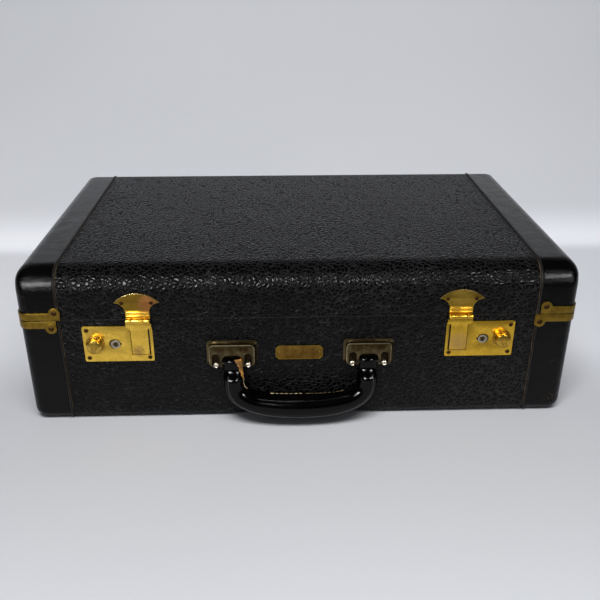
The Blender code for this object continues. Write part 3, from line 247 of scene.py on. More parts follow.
def woodFinish(name, light, dark):
    material, tree, shader = newMaterial(name, Roughness=0.62)
    place = objectPlace(tree)
    rings = noise(tree, stretched(tree, place, (1.2, 12, 12)), 24, 6, 0.62)
    fibre = noise(tree, stretched(tree, place, (3, 60, 60)), 34, 4, 0.6)
    tone = mixColour(tree, remap(tree, rings, 0.34, 0.68), light, dark)
    tone = mixColour(
        tree, maths(tree, "MULTIPLY", remap(tree, fibre, 0.45, 0.62), 0.4), tone,
        tuple(c * 0.6 for c in dark))
    tree.links.new(tone, shader.inputs["Base Color"])
    tree.links.new(bump(tree, fibre, 0.00012), shader.inputs["Normal"])
    return material


def clothFinish(name, colour):
    material, tree, shader = newMaterial(name, Roughness=0.86)
    place = objectPlace(tree)
    wave = {"Vector": place, "Scale": 420.0, "Distortion": 0.5, "Detail": 1.0}
    threads = [
        node(tree, "ShaderNodeTexWave", wave, bands_direction=band).outputs["Fac"]
        for band in "XY"]
    weave = maths(tree, "MAXIMUM", *threads)
    stain = remap(tree, noise(tree, place, 9, 5, 0.6), 0.45, 0.72)
    tone = mixColour(tree, stain, colour, tuple(c * 0.62 for c in colour))
    tone = mixColour(
        tree, maths(tree, "MULTIPLY", weave, 0.25), tone, tuple(min(1, c * 1.5) for c in colour))
    tree.links.new(tone, shader.inputs["Base Color"])
    tree.links.new(bump(tree, weave, 0.0002), shader.inputs["Normal"])
    return material


hasp = {"x": 0.1537, "tip": 0.1295, "apex": 0.139, "neckTop": 0.1215}
leftStains = (
    ((-0.143, -0.167, 0.128), 0.013, (0.42, 0.16, 0.06), 0.9),
    ((-0.1560, -0.168, 0.078), 0.0085, (0.34, 0.19, 0.07), 0.85),
    ((-0.1985, -0.168, 0.098), 0.010, (0.40, 0.25, 0.06), 0.5),
)
rightStains = (
    ((0.1537, -0.168, 0.083), 0.014, (0.52, 0.32, 0.11), 0.9),
    ((0.1537, -0.168, 0.133), 0.016, (0.42, 0.28, 0.05), 0.6),
)
# a dark brown band along the top of each handle bracket's hood: painted reflection of the dark room
# above, not a stain
bracketHoodPaintedReflection = tuple(
    ((side * x, -0.172, 0.0835), 0.0085, (0.032, 0.016, 0.005), 1.0)
    for side in (-1, 1) for x in (0.078, 0.0663, 0.055))
finishes = {
    "covering": grainedLeather(),
    "capLeather": smoothLeather("capLeather", (0.0010, 0.0008, 0.0009), 0.08, (
        ((0.262, -0.163, 0.012), 0.022, (0.30, 0.16, 0.08)),
        ((0.2555, -0.165, 0.055), 0.013, (0.12, 0.055, 0.03)),
        ((-0.2665, -0.165, 0.132), 0.030, (0.09, 0.035, 0.025)),
    ), waves=0.8),
    "gripLeather": smoothLeather("gripLeather", (0.0004, 0.00035, 0.0004), 0.06, waves=0.16),
    # painted highlight: the crease along the grip is painted far lighter than the grip's leather
    "ridgePaintedHighlight": smoothLeather("ridgePaintedHighlight", (0.030, 0.028, 0.027), 0.30),
    "weltLeather": smoothLeather("weltLeather", (0.010, 0.009, 0.008), 0.38, (
        ((-0.229, -0.160, 0.140), 0.055, (0.34, 0.24, 0.09)),
        ((-0.229, -0.165, 0.118), 0.03, (0.34, 0.24, 0.09)),
        ((0.229, -0.165, 0.060), 0.055, (0.16, 0.15, 0.14)),
    )),
    "leftBrass": brassFinish(
        "leftBrass", (0.97, 0.63, 0.095), (0.64, 0.40, 0.045), 0.19, leftStains),
    "rightBrass": brassFinish(
        "rightBrass", (0.78, 0.475, 0.048), (0.50, 0.29, 0.027), 0.19, rightStains),
    # painted shade: darker copies of each side's brass for the fans' flat faces, for the darker floor
    # they mirror
    "leftFanPaintedShade": brassFinish(
        "leftFanPaintedShade", (0.30, 0.185, 0.024), (0.19, 0.10, 0.014), 0.20, leftStains),
    "rightFanPaintedShade": brassFinish(
        "rightFanPaintedShade", (0.32, 0.20, 0.026), (0.20, 0.12, 0.016), 0.20, rightStains),
    "leftKnobBrass": brassFinish(
        "leftKnobBrass", (0.68, 0.44, 0.085), (0.34, 0.21, 0.035), 0.16, (), 0.8),
    "rightKnobBrass": brassFinish(
        "rightKnobBrass", (0.62, 0.38, 0.060), (0.30, 0.18, 0.026), 0.16, (), 0.8),
    "edgeGlint": brassFinish("edgeGlint", (1.0, 0.78, 0.36), (0.85, 0.58, 0.22), 0.16, (), 0.4),
    "edgeBrass": brassFinish(
        "edgeBrass", (0.28, 0.175, 0.026), (0.14, 0.085, 0.014), 0.28, (), 0.8),
    "plateBrass": brassFinish(
        "plateBrass", (0.20, 0.115, 0.024), (0.10, 0.050, 0.011), 0.34, (), 0.8),
    "bracketBrass": brassFinish(
        "bracketBrass", (0.125, 0.098, 0.048), (0.050, 0.034, 0.016), 0.18, bracketHoodPaintedReflection, 0.8),
    # painted shade and painted highlight: a near-black copy of the bracket's brass for its recesses, a
    # lighter one for its hood's upper edge
    "bracketPaintedShade": brassFinish(
        "bracketPaintedShade", (0.020, 0.014, 0.007), (0.008, 0.005, 0.003), 0.40, (), 0.9),
    "bracketGlint": brassFinish(
        "bracketGlint", (0.34, 0.28, 0.17), (0.14, 0.11, 0.06), 0.20, (), 0.7),
    "nailBrass": brassFinish(
        "nailBrass", (0.060, 0.028, 0.010), (0.022, 0.011, 0.006), 0.34, (), 0.9),
    "hingeBrass": brassFinish(
        "hingeBrass", (0.28, 0.19, 0.045), (0.13, 0.085, 0.02), 0.32, (), 0.8),
    "steel": brassFinish("steel", (0.58, 0.53, 0.44), (0.26, 0.21, 0.15), 0.26, (), 0.7),
    # near-black steel, also used as painted shade in the keyholes and on the bracket pins
    "darkSteelAndShade": brassFinish(
        "darkSteelAndShade", (0.040, 0.034, 0.026), (0.014, 0.011, 0.009), 0.38, (), 0.8),
    "coreSteel": brassFinish("coreSteel", (0.20, 0.155, 0.08), (0.07, 0.05, 0.025), 0.30, (), 0.8),
    "thread": threadFinish("thread", (0.66, 0.50, 0.28)),
    "dirtyThread": threadFinish("dirtyThread", (0.20, 0.13, 0.06)),
    "rawLeather": threadFinish("rawLeather", (0.62, 0.27, 0.035)),
    "plywood": woodFinish("plywood", (0.45, 0.31, 0.18), (0.27, 0.17, 0.09)),
    "lining": clothFinish("lining", (0.34, 0.24, 0.15)),
}
print("finishes made:", len(finishes))


# small helpers for meshes

def addPiece(name, mesh, finish, body, replaces=(), sharp=40):
    piece = bpy.data.objects.new(name, mesh)
    bpy.context.scene.collection.objects.link(piece)
    if not mesh.materials:
        mesh.materials.append(finishes[finish])
    mesh.shade_smooth()
    if sharp:
        mesh.set_sharp_from_angle(angle=math.radians(sharp))
    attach(piece, body)
    if replaces:
        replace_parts(piece, *replaces)
    return piece


def meshFrom(name, work, recalc=True):
    if recalc:
        bmesh.ops.recalc_face_normals(work, faces=work.faces)
    mesh = bpy.data.meshes.new(name)
    work.to_mesh(mesh)
    work.free()
    return mesh


def joined(name, meshes):
    work = bmesh.new()
    for mesh in meshes:
        work.from_mesh(mesh)
        bpy.data.meshes.remove(mesh)
    mesh = bpy.data.meshes.new(name)
    work.to_mesh(mesh)
    work.free()
    return mesh


def evaluated(piece, name):
    # the piece with its modifiers, as a plain mesh, and the piece itself removed
    bpy.context.view_layer.update()
    graph = bpy.context.evaluated_depsgraph_get()
    mesh = bpy.data.meshes.new_from_object(piece.evaluated_get(graph))
    mesh.name = name
    bpy.data.objects.remove(piece, do_unlink=True)
    return mesh


def loose(mesh, *modifiers):
    piece = bpy.data.objects.new(mesh.name, mesh)
    bpy.context.scene.collection.objects.link(piece)
    for kind, settings in modifiers:
        modifier = piece.modifiers.new(kind, kind)
        for key, value in settings.items():
            setattr(modifier, key, value)
    return piece


def shaped(mesh, *modifiers):
    return evaluated(loose(mesh, *modifiers), mesh.name)


def carved(mesh, cutters, operation="DIFFERENCE"):
    helpers = [loose(cutter) for cutter in cutters]
    settings = [
        ("BOOLEAN", {"operation": operation, "object": helper, "solver": "EXACT"})
        for helper in helpers]
    result = shaped(mesh, *settings)
    for helper in helpers:
        bpy.data.objects.remove(helper, do_unlink=True)
    return result


def bevelled(mesh, width, segments=2, angle=35):
    settings = {
        "width": width, "segments": segments, "limit_method": "ANGLE",
        "angle_limit": math.radians(angle), "harden_normals": False}
    return shaped(mesh, ("BEVEL", settings))


def boxMesh(low, high, name="box"):
    low, high = Vector(low), Vector(high)
    work = bmesh.new()
    bmesh.ops.create_cube(
        work, size=1,
        matrix=Matrix.Translation((low + high) / 2) @ Matrix.Diagonal((*(high - low), 1)))
    return meshFrom(name, work)


def arc(centre, radius, start, end, steps):
    angles = [math.radians(start + (end - start) * i / steps) for i in range(steps + 1)]
    return [(centre[0] + radius * math.cos(a), centre[1] + radius * math.sin(a)) for a in angles]


def roundedRectangle(low, high, radius, steps=6):
    x = (low[0] + radius, high[0] - radius)
    y = (low[1] + radius, high[1] - radius)
    points = arc((x[1], y[0]), radius, -90, 0, steps) + arc((x[1], y[1]), radius, 0, 90, steps)
    return points + arc((x[0], y[1]), radius, 90, 180, steps) + arc(
        (x[0], y[0]), radius, 180, 270, steps)


def plateMesh(name, outlines, rear, face, edge=0.0002):
    # a flat plate in XZ with softened edges; a further outline inside the first is a hole
    curve = bpy.data.curves.new(name, "CURVE")
    curve.dimensions = "2D"
    curve.fill_mode = "BOTH"
    curve.extrude = abs(face - rear) / 2 - edge
    curve.bevel_depth = edge
    curve.bevel_resolution = 1
    curve.offset = -edge
    for outline in outlines:
        spline = curve.splines.new("POLY")
        spline.points.add(len(outline) - 1)
        for point, (x, z) in zip(spline.points, outline):
            point.co = (x, z, 0, 1)
        spline.use_cyclic_u = True
    guide = bpy.data.objects.new(name, curve)
    bpy.context.scene.collection.objects.link(guide)
    mesh = evaluated(guide, name)
    bpy.data.curves.remove(curve)
    work = bmesh.new()
    work.from_mesh(mesh)
    bpy.data.meshes.remove(mesh)
    bmesh.ops.remove_doubles(work, verts=work.verts, dist=0.000003)
    stand = Matrix.Translation((0, (rear + face) / 2, 0)) @ Matrix.Rotation(math.pi / 2, 4, "X")
    bmesh.ops.transform(work, matrix=stand, verts=work.verts)
    return meshFrom(name, work)


def tubeMesh(name, points, radius, sides=12, cap=True):
    # a round tube along points; radius is one number or one for each point
    points = [Vector(p) for p in points]
    radii = [radius] * len(points) if isinstance(radius, (int, float)) else list(radius)
    work = bmesh.new()
    normal = None
    loops = []
    for i, point in enumerate(points):
        ahead = points[min(i + 1, len(points) - 1)] - points[max(i - 1, 0)]
        along = ahead.normalized()
        if normal is None:
            normal = along.orthogonal().normalized()
        normal = (normal - along * normal.dot(along)).normalized()
        other = along.cross(normal)
        loop = []
        for k in range(sides):
            turn = 2 * math.pi * k / sides
            loop.append(
                work.verts.new(
                    point + (normal * math.cos(turn) + other * math.sin(turn)) * radii[i]))
        loops.append(loop)
    for first, second in zip(loops, loops[1:]):
        for k in range(sides):
            after = (k + 1) % sides
            work.faces.new((first[k], first[after], second[after], second[k]))
    if cap:
        work.faces.new(loops[0])
        work.faces.new(loops[-1])
    return meshFrom(name, work)


def barMesh(name, start, end, radius, soft=0.0003, sides=20):
    # a straight rod with softened ends
    start, end = Vector(start), Vector(end)
    along = (end - start).normalized()
    points = [
        start, start + along * soft * 0.3, start + along * soft, end - along * soft,
        end - along * soft * 0.3, end]
    radii = [radius - soft, radius - soft * 0.3, radius, radius, radius - soft * 0.3, radius - soft]
    return tubeMesh(name, points, radii, sides)


def turnedMesh(name, profile, place, outward=(0, -1, 0), sides=32):
    # profile as (radius, height) from the middle of the face down to the rear
    work = bmesh.new()
    turn = Vector(outward).to_track_quat("Z", "X").to_matrix().to_4x4()
    loops = []
    for radius, height in profile:
        if radius < 1e-7:
            loops.append([work.verts.new((0, 0, height))])
            continue
        loops.append(
            [
                work.verts.new(
                    (
                        radius * math.cos(2 * math.pi * k / sides),
                        radius * math.sin(2 * math.pi * k / sides), height))
                for k in range(sides)])
    for first, second in zip(loops, loops[1:]):
        for k in range(sides):
            after = (k + 1) % sides
            corners = [
                first[k % len(first)], first[after % len(first)], second[after % len(second)],
                second[k % len(second)]]
            corners = list(dict.fromkeys(corners))
            if len(corners) > 2:
                work.faces.new(corners)
    if len(loops[-1]) > 1:
        work.faces.new(loops[-1])
    bmesh.ops.transform(work, matrix=Matrix.Translation(Vector(place)) @ turn, verts=work.verts)
    return meshFrom(name, work)


# repeated things are made by geometry nodes

def newTree(name, sockets):
    tree = bpy.data.node_groups.new(name, "GeometryNodeTree")
    tree.interface.new_socket("Geometry", in_out="INPUT", socket_type="NodeSocketGeometry")
    for label, kind in sockets:
        tree.interface.new_socket(label, in_out="INPUT", socket_type=kind)
    tree.interface.new_socket("Geometry", in_out="OUTPUT", socket_type="NodeSocketGeometry")
    return tree, tree.nodes.new("NodeGroupInput"), tree.nodes.new("NodeGroupOutput")


def grownMesh(name, base, tree, values):
    # runs the tree on the base object and returns its result as a plain mesh
    modifier = base.modifiers.new(tree.name, "NODES")
    modifier.node_group = tree
    known = {
        item.name: item.identifier
        for item in tree.interface.items_tree
        if item.in_out == "INPUT"}
    for label, value in values.items():
        modifier[known[label]] = value
    return evaluated(base, name)


def nailTree():
    # a round head on every point, facing along the point's normal
    tree, given, result = newTree(
        "nailHeads",
        (
            ("Radius", "NodeSocketFloat"), ("Height", "NodeSocketFloat"),
            ("Finish", "NodeSocketMaterial")))
    points = node(tree, "GeometryNodeMeshToPoints", {"Mesh": given.outputs["Geometry"]})
    head = node(
        tree, "GeometryNodeMeshUVSphere",
        {"Segments": 16, "Rings": 8, "Radius": given.outputs["Radius"]})
    flat = node(
        tree, "ShaderNodeMath", {0: given.outputs["Height"], 1: given.outputs["Radius"]},
        operation="DIVIDE")
    squash = node(tree, "ShaderNodeCombineXYZ", {0: 1.0, 1: 1.0, 2: flat.outputs[0]})
    facing = node(
        tree, "GeometryNodeInputNamedAttribute", {"Name": "outward"}, data_type="FLOAT_VECTOR")
    turn = node(
        tree, "FunctionNodeAlignRotationToVector", {"Vector": facing.outputs["Attribute"]}, axis="Z"
    )
    placed = node(tree, "GeometryNodeInstanceOnPoints", {
        "Points": points.outputs[0], "Instance": head.outputs["Mesh"], "Rotation": turn.outputs[0], "Scale": squash.outputs[0]})
    real = node(tree, "GeometryNodeRealizeInstances", {"Geometry": placed.outputs[0]})
    smooth = node(tree, "GeometryNodeSetShadeSmooth", {"Geometry": real.outputs[0]})
    final = node(
        tree, "GeometryNodeSetMaterial",
        {"Geometry": smooth.outputs[0], "Material": given.outputs["Finish"]})
    tree.links.new(final.outputs[0], result.inputs[0])
    return tree


nailHeads = nailTree()


# radius and height of a nail's head
nailSizes = {
    "edge": (0.0027, 0.0009), "lock": (0.0022, 0.0008), "fan": (0.0020, 0.0008),
    "name": (0.0010, 0.0006), "hinge": (0.0020, 0.0008),
}


def nails(name, spots, radius, height, finish, body, slot="dull_brass"):
    mesh = bpy.data.meshes.new(name)
    mesh.from_pydata([place for place, _ in spots], [], [])
    outward = mesh.attributes.new("outward", "FLOAT_VECTOR", "POINT")
    for i, (_, facing) in enumerate(spots):
        outward.data[i].vector = facing
    heads = grownMesh(
        name, loose(mesh), nailHeads,
        {"Radius": radius, "Height": height, "Finish": finishes[finish]})
    return addPiece(name, heads, finish, body, sharp=0)


def stitchTree():
    # short threads along a curve, each dipping into the leather at its ends
    tree, given, result = newTree("stitches", (
        ("Spacing", "NodeSocketFloat"), ("Length", "NodeSocketFloat"), ("Radius", "NodeSocketFloat"), ("Seed", "NodeSocketInt"), (
            "Finish", "NodeSocketMaterial")))
    line = node(tree, "GeometryNodeMeshToCurve", {"Mesh": given.outputs["Geometry"]})
    spots = node(
        tree, "GeometryNodeCurveToPoints",
        {"Curve": line.outputs[0], "Length": given.outputs["Spacing"]}, mode="LENGTH")
    thread = node(tree, "GeometryNodeMeshUVSphere", {"Segments": 8, "Rings": 6, "Radius": 1.0})
    half = node(tree, "ShaderNodeMath", {0: given.outputs["Length"], 1: 0.5}, operation="MULTIPLY")
    size = node(
        tree, "ShaderNodeCombineXYZ",
        {0: given.outputs["Radius"], 1: given.outputs["Radius"], 2: half.outputs[0]})
    jitter = node(
        tree, "FunctionNodeRandomValue", {"Seed": given.outputs["Seed"]}, data_type="FLOAT")
    jitter.inputs[2].default_value = 0.8
    jitter.inputs[3].default_value = 1.15
    scale = node(
        tree, "ShaderNodeVectorMath", {0: size.outputs[0], "Scale": jitter.outputs[1]},
        operation="SCALE")
    turn = node(
        tree, "FunctionNodeAlignRotationToVector", {"Vector": spots.outputs["Tangent"]}, axis="Z")
    placed = node(tree, "GeometryNodeInstanceOnPoints", {
        "Points": spots.outputs[0], "Instance": thread.outputs["Mesh"], "Rotation": turn.outputs[0], "Scale": scale.outputs[0]})
    real = node(tree, "GeometryNodeRealizeInstances", {"Geometry": placed.outputs[0]})
    smooth = node(tree, "GeometryNodeSetShadeSmooth", {"Geometry": real.outputs[0]})
    final = node(
        tree, "GeometryNodeSetMaterial",
        {"Geometry": smooth.outputs[0], "Material": given.outputs["Finish"]})
    tree.links.new(final.outputs[0], result.inputs[0])
    return tree


stitchLine = stitchTree()


# base and lid

def panMesh(name, inset, endZ, rimZ, frontRadius, sideRadius, steps=14, cornerSteps=10):
    frontRadius -= inset
    sideRadius -= inset
    inward = math.copysign(1, rimZ - endZ)
    endZ += inset * inward
    tallest = max(frontRadius, sideRadius)
    rings = []
    for step in range(steps + 1):
        depth = tallest * (1 - math.cos(math.pi / 2 * step / steps))
        drawn = []
        for radius in (sideRadius, frontRadius):
            rise = max(radius - depth, 0)
            drawn.append(radius - math.sqrt(radius ** 2 - rise ** 2))
        halfX = case["halfWidth"] - inset - drawn[0]
        halfY = back - inset - drawn[1]
        corner = (case["corner"] - inset) * (
            1 - case["cornerShare"] * min(drawn) / min(frontRadius, sideRadius))
        outline = roundedRectangle((-halfX, -halfY), (halfX, halfY), corner, cornerSteps)
        rings.append([(x, y, endZ + depth * inward) for x, y in outline])
    rings.append([(x, y, rimZ) for x, y, _ in rings[-1]])
    work = bmesh.new()
    loops = [[work.verts.new(point) for point in ring] for ring in rings]
    work.faces.new(loops[0])
    count = len(loops[0])
    for lower, upper in zip(loops, loops[1:]):
        for i in range(count):
            after = (i + 1) % count
            work.faces.new((lower[i], lower[after], upper[after], upper[i]))
    bmesh.ops.recalc_face_normals(work, faces=work.faces)
    lidLike = inward < 0
    if (max(work.faces, key=lambda f: f.calc_area()).normal.z > 0) != lidLike:
        bmesh.ops.reverse_faces(work, faces=work.faces)
    return meshFrom(name, work, recalc=False)


def spanOf(mesh, lowX, highX):
    work = bmesh.new()
    work.from_mesh(mesh)
    name = mesh.name
    bpy.data.meshes.remove(mesh)
    for x, away in ((lowX, -1), (highX, 1)):
        if x is None:
            continue
        geometry = work.verts[:] + work.edges[:] + work.faces[:]
        bmesh.ops.bisect_plane(
            work, geom=geometry, dist=1e-7, plane_co=(x, 0, 0), plane_no=(away, 0, 0),
            clear_outer=True)
    return meshFrom(name, work, recalc=False)


def thickened(mesh, thickness):
    return shaped(
        mesh, ("SOLIDIFY", {"thickness": thickness, "offset": -1, "use_even_offset": True}))


def weighted(piece):
    modifier = piece.modifiers.new("faceWeights", "WEIGHTED_NORMAL")
    modifier.keep_sharp = True
    modifier.weight = 100
    return piece


pans = {
    "base": {
        "end": 0.0, "rim": baseRim, "frontRadius": case["baseFront"], "sideRadius": case["baseSide"]
    },
    "lid": {
        "end": case["top"], "rim": lidRim, "frontRadius": case["lidFront"],
        "sideRadius": case["lidSide"]},
}
lock = {
    "x": 0.1745, "z": 0.0862, "width": 0.0665, "height": 0.038, "thickness": 0.0012,
    "corner": 0.0018, "caseWidth": 0.0605, "caseHeight": 0.032}
coverHalf = case["weltX"] - case["weltRadius"] - case["gap"]
capStart = case["weltX"] + case["weltRadius"] + case["gap"]


def windows():
    # the holes that the lock cases and the hasps' catches need in the base's covering
    boxes = []
    for _, side in ends:
        x = side * lock["x"]
        w, h = lock["caseWidth"] / 2 + 0.0003, lock["caseHeight"] / 2 + 0.0003
        boxes.append(
            boxMesh((x - w, front - 0.002, lock["z"] - h), (x + w, front + 0.006, lock["z"] + h)))
        x = side * hasp["x"]
        boxes.append(
            boxMesh(
                (x - 0.0015, front - 0.002, lock["z"] - 0.007),
                (x + 0.0015, front + 0.0043, baseRim + 0.002)))
    return boxes


for part, pan in pans.items():
    shape = (pan["end"], pan["rim"], pan["frontRadius"], pan["sideRadius"])
    cover = thickened(
        spanOf(panMesh(part + "Covering", 0, *shape), -coverHalf, coverHalf), case["skin"])
    cover = bevelled(cover, 0.0006, 2, 60)
    if part == "base":
        cover = carved(cover, windows())
    weighted(
        addPiece(part + "Covering", cover, "covering", part, [part + "_cover"]))
    for sideName, side in ends:
        low, high = (None, -capStart) if side < 0 else (capStart, None)
        cap = spanOf(panMesh(f"{part}Cap.{sideName}", 0, *shape), low, high)
        cap = bevelled(thickened(cap, case["skin"]), 0.0005, 2, 60)
        weighted(
            addPiece(
                f"{part}Cap.{sideName}", cap, "capLeather", part, [f"{part}_end_cap_{sideName}"]))
    inner = thickened(
        panMesh(part + "Lining", case["liningInset"], *shape, steps=8, cornerSteps=6),
        case["lining"])
    weighted(addPiece(part + "Lining", inner, "lining", part, [part + "_lining"]))
print("coverings, caps and linings made")


# cord welts between covering and caps

edgeStrip = {
    "height": 0.0076, "thickness": 0.001, "reach": 0.0378, "lidShift": 0.0023, "baseShift": -0.0023,
    "lobe": 0.0054, "lobeInset": 0.005, "proud": 0.00025}


def stripEnd(part, side):
    end = case["halfWidth"] - edgeStrip["reach"] + side * edgeStrip[part + "Shift"]
    return end, end + edgeStrip["lobeInset"]


def weltStop(part, side):
    end, lobe = stripEnd(part, side)
    near = min(end, lobe - edgeStrip["lobe"])
    if near - (case["weltX"] + case["weltRadius"]) >= case["gap"]:
        return case["seamGap"] / 2
    under = abs(lobe - case["weltX"]) < edgeStrip["lobe"] + case["weltRadius"] + case["gap"]
    return case["seamGap"] / 2 + edgeStrip["height"] + case["gap"] + (
        edgeStrip["lobe"] if under else 0)


for part, pan in pans.items():
    rise = 1 if part == "base" else -1
    radius = pan["frontRadius"]
    for sideName, side in ends:
        stop = case["seam"] - rise * weltStop(part, side)
        centreZ = pan["end"] + rise * radius
        turn = 90 * rise
        path = [(front, stop)] + arc((front + radius, centreZ), radius, 180, 180 + turn, 14)
        path += arc((back - radius, centreZ), radius, -turn, 0, 14) + [(back, stop)]
        points = [(side * case["weltX"], y, z) for y, z in path]
        dense = []
        for a, b in zip(points, points[1:]):
            a, b = Vector(a), Vector(b)
            cuts = max(1, round((b - a).length / 0.006))
            dense += [a.lerp(b, k / cuts) for k in range(cuts)]
        dense.append(Vector(points[-1]))
        swing = random.Random(len(part) + side)
        radii = [case["weltRadius"] * (1 + swing.uniform(-0.05, 0.03)) for _ in dense]
        if part == "base":
            dense = [Vector((p.x, p.y, max(p.z, case["weltRadius"]))) for p in dense]
        mesh = tubeMesh(f"{part}Welt.{sideName}", dense, radii, 10)
        addPiece(
            f"{part}Welt.{sideName}", mesh, "weltLeather", part, [f"{part}_welt_{sideName}"],
            sharp=60)
print("welts made")


# brass edges round both ends, nailed through a lobe at each end

def edgeMesh(name, part, side, lowZ):
    off = case["gap"]
    endX, lobeX = stripEnd(part, side)
    cornerX, cornerY = case["halfWidth"] - case["corner"], back - case["corner"]
    height, thick, soft = edgeStrip["height"], edgeStrip["thickness"], 0.00022
    section = [
        (0, 0), (thick - soft, 0), (thick - soft * 0.3, soft * 0.3), (thick, soft),
        (thick, height - soft), (thick - soft * 0.3, height - soft * 0.3), (thick - soft, height),
        (0, height)]
    work = bmesh.new()
    loops = []
    flat = [((endX, front), (0, -1))]
    for first, centreY in ((-90, -cornerY), (0, cornerY)):
        for degrees in range(first, first + 91, 9):
            nx, ny = math.cos(math.radians(degrees)), math.sin(math.radians(degrees))
            flat.append(((cornerX + case["corner"] * nx, centreY + case["corner"] * ny), (nx, ny)))
    flat.append(((endX, back), (0, 1)))
    for (x, y), (nx, ny) in flat:
        loops.append(
            [
                work.verts.new((side * (x + nx * (off + out)), y + ny * (off + out), lowZ + up))
                for out, up in section])
    for first, second in zip(loops, loops[1:]):
        for i in range(len(section)):
            after = (i + 1) % len(section)
            work.faces.new((first[i], first[after], second[after], second[i]))
    work.faces.new(loops[0])
    work.faces.new(loops[-1])
    strip = meshFrom(name, work)
    lobeZ = lowZ if part == "base" else lowZ + height
    profile = [
        (0, thick), (edgeStrip["lobe"] - soft, thick),
        (edgeStrip["lobe"] - soft * 0.3, thick - soft * 0.3), (edgeStrip["lobe"], thick - soft),
        (edgeStrip["lobe"], 0)]
    lobes = []
    for y, out in ((front, -1), (back, 1)):
        lobes.append(
            turnedMesh(
                "lobe", profile, (side * lobeX, y + out * (off + edgeStrip["proud"]), lobeZ),
                (0, out, 0), 40))
    return joined(name, [strip, *lobes]), [
        ((side * lobeX, y + out * (off + edgeStrip["proud"] + thick), lobeZ), (0, out, 0))
        for y, out in ((front, -1), (back, 1))]


for part in pans:
    lowZ = baseRim - edgeStrip["height"] if part == "base" else lidRim
    for sideName, side in ends:
        mesh, spots = edgeMesh(f"{part}Edge.{sideName}", part, side, lowZ)
        addPiece(
            f"{part}Edge.{sideName}", mesh, "edgeBrass", part, [f"{part}_edge_{sideName}"])
        nails(f"{part}EdgeNails.{sideName}", spots, *nailSizes["edge"], "nailBrass", part)
print("brass edges made")


# lock plates, push buttons and key cores

button = {
    "fromLock": 0.022, "ring": 0.009, "ringHeight": 0.0016, "drum": 0.0072, "drumHeight": 0.0052,
    "dome": 0.0008, "travel": 0.004}
tongue = {
    "width": 0.0163, "bottom": 0.0745, "clear": 0.0004, "slot": 0.0015, "shoulder": 0.1013,
    "half": 0.0121}
core = {"fromLock": 0.004, "radius": 0.0047, "pointer": 0.0075}


def lockPlateMesh(name, side):
    # the plate's outline with its notch for the tongue, then its keyhole and button slot as holes
    x, z = side * lock["x"], lock["z"]
    w, h, r = lock["width"] / 2, lock["height"] / 2, lock["corner"]
    top = z + h
    notch = sorted(
        (
            side * (hasp["x"] + tongue["width"] / 2 + tongue["clear"]),
            side * (hasp["x"] - tongue["width"] / 2 - tongue["slot"])))
    floor = tongue["bottom"] - tongue["clear"]
    outline = arc(
        (x - w + r, z - h + r), r, 180, 270, 5
    ) + arc((x + w - r, z - h + r), r, 270, 360, 5) + arc((x + w - r, top - r), r, 0, 90, 5)
    outline += [(notch[1], top), (notch[1], floor), (notch[0], floor), (notch[0], top)]
    outline += arc((x - w + r, top - r), r, 90, 180, 5)
    cx = side * (lock["x"] + core["fromLock"])
    hole = core["radius"] + 0.0003
    tip = cx - side * core["pointer"]
    spread = math.degrees(math.acos(hole / core["pointer"]))
    start = 180 if side > 0 else 0
    teardrop = [(tip, z)] + arc((cx, z), hole, start + spread, start + 360 - spread, 26)
    bx = side * (lock["x"] + button["fromLock"])
    room = 0.0029
    far = bx + side * button["travel"]
    low, high = min(bx, far), max(bx, far)
    slot = arc((high, z), room, -90, 90, 10) + arc((low, z), room, 90, 270, 10)
    return plateMesh(
        name, [outline, teardrop, slot], plateBack, plateBack - lock["thickness"], 0.00025)


def knobMesh(name, side):
    plateFront = plateBack - lock["thickness"] - case["gap"]
    place = (side * (lock["x"] + button["fromLock"]), plateFront, lock["z"])
    ring, drum = button["ring"], button["drum"]
    top = button["ringHeight"] + button["drumHeight"]
    soft = button["dome"]
    profile = [
        (0, top + soft * 0.75), (drum * 0.26, top + soft * 0.8), (drum * 0.30, top + soft * 0.35),
        (drum * 0.36, top + soft * 0.35), (drum * 0.42, top + soft * 0.95)]
    profile += [(drum * 0.62, top + soft * 0.75), (drum * 0.78, top + soft * 0.35)]
    profile += [
        (drum - soft + soft * math.sin(a), top - soft + soft * math.cos(a))
        for a in (0, 0.4, 0.8, 1.2, math.pi / 2)]
    profile += [
        (drum, button["ringHeight"] + 0.0011), (drum - 0.0004, button["ringHeight"] + 0.0008),
        (drum - 0.0004, button["ringHeight"] - 0.0008),
        (drum + 0.0003, button["ringHeight"] - 0.0009)]
    profile += [
        (drum + 0.0006, button["ringHeight"] - 0.0003), (drum + 0.0009, button["ringHeight"])]
    profile += [
        (ring - 0.0005, button["ringHeight"]), (ring - 0.00015, button["ringHeight"] - 0.00015),
        (ring, button["ringHeight"] - 0.0005), (ring, 0), (0.0025, 0), (0.0025, -0.0045)]
    return turnedMesh(name, profile, place, (0, -1, 0), 64)


for sideName, side in ends:
    finish = sideName + "Brass"
    addPiece(
        f"lockPlate.{sideName}", lockPlateMesh(f"lockPlate.{sideName}", side), finish, "base",
        [f"lock_plate_{sideName}"])
    addPiece(
        f"knob.{sideName}", knobMesh(f"knob.{sideName}", side), sideName + "KnobBrass",
        f"button_{sideName}", [f"button_{sideName}"])
    face = plateBack - lock["thickness"]
    inset = 0.0042
    corners = [(a, b) for a in (-1, 1) for b in (-1, 1) if not (a == -side and b == 1)]
    spots = [
        (
            (
                side * lock["x"] + a * (lock["width"] / 2 - inset), face,
                lock["z"] + b * (lock["height"] / 2 - inset)),
            (0, -1, 0))
        for a, b in corners]
    nails(f"lockNails.{sideName}", spots, *nailSizes["lock"], "nailBrass", "base")


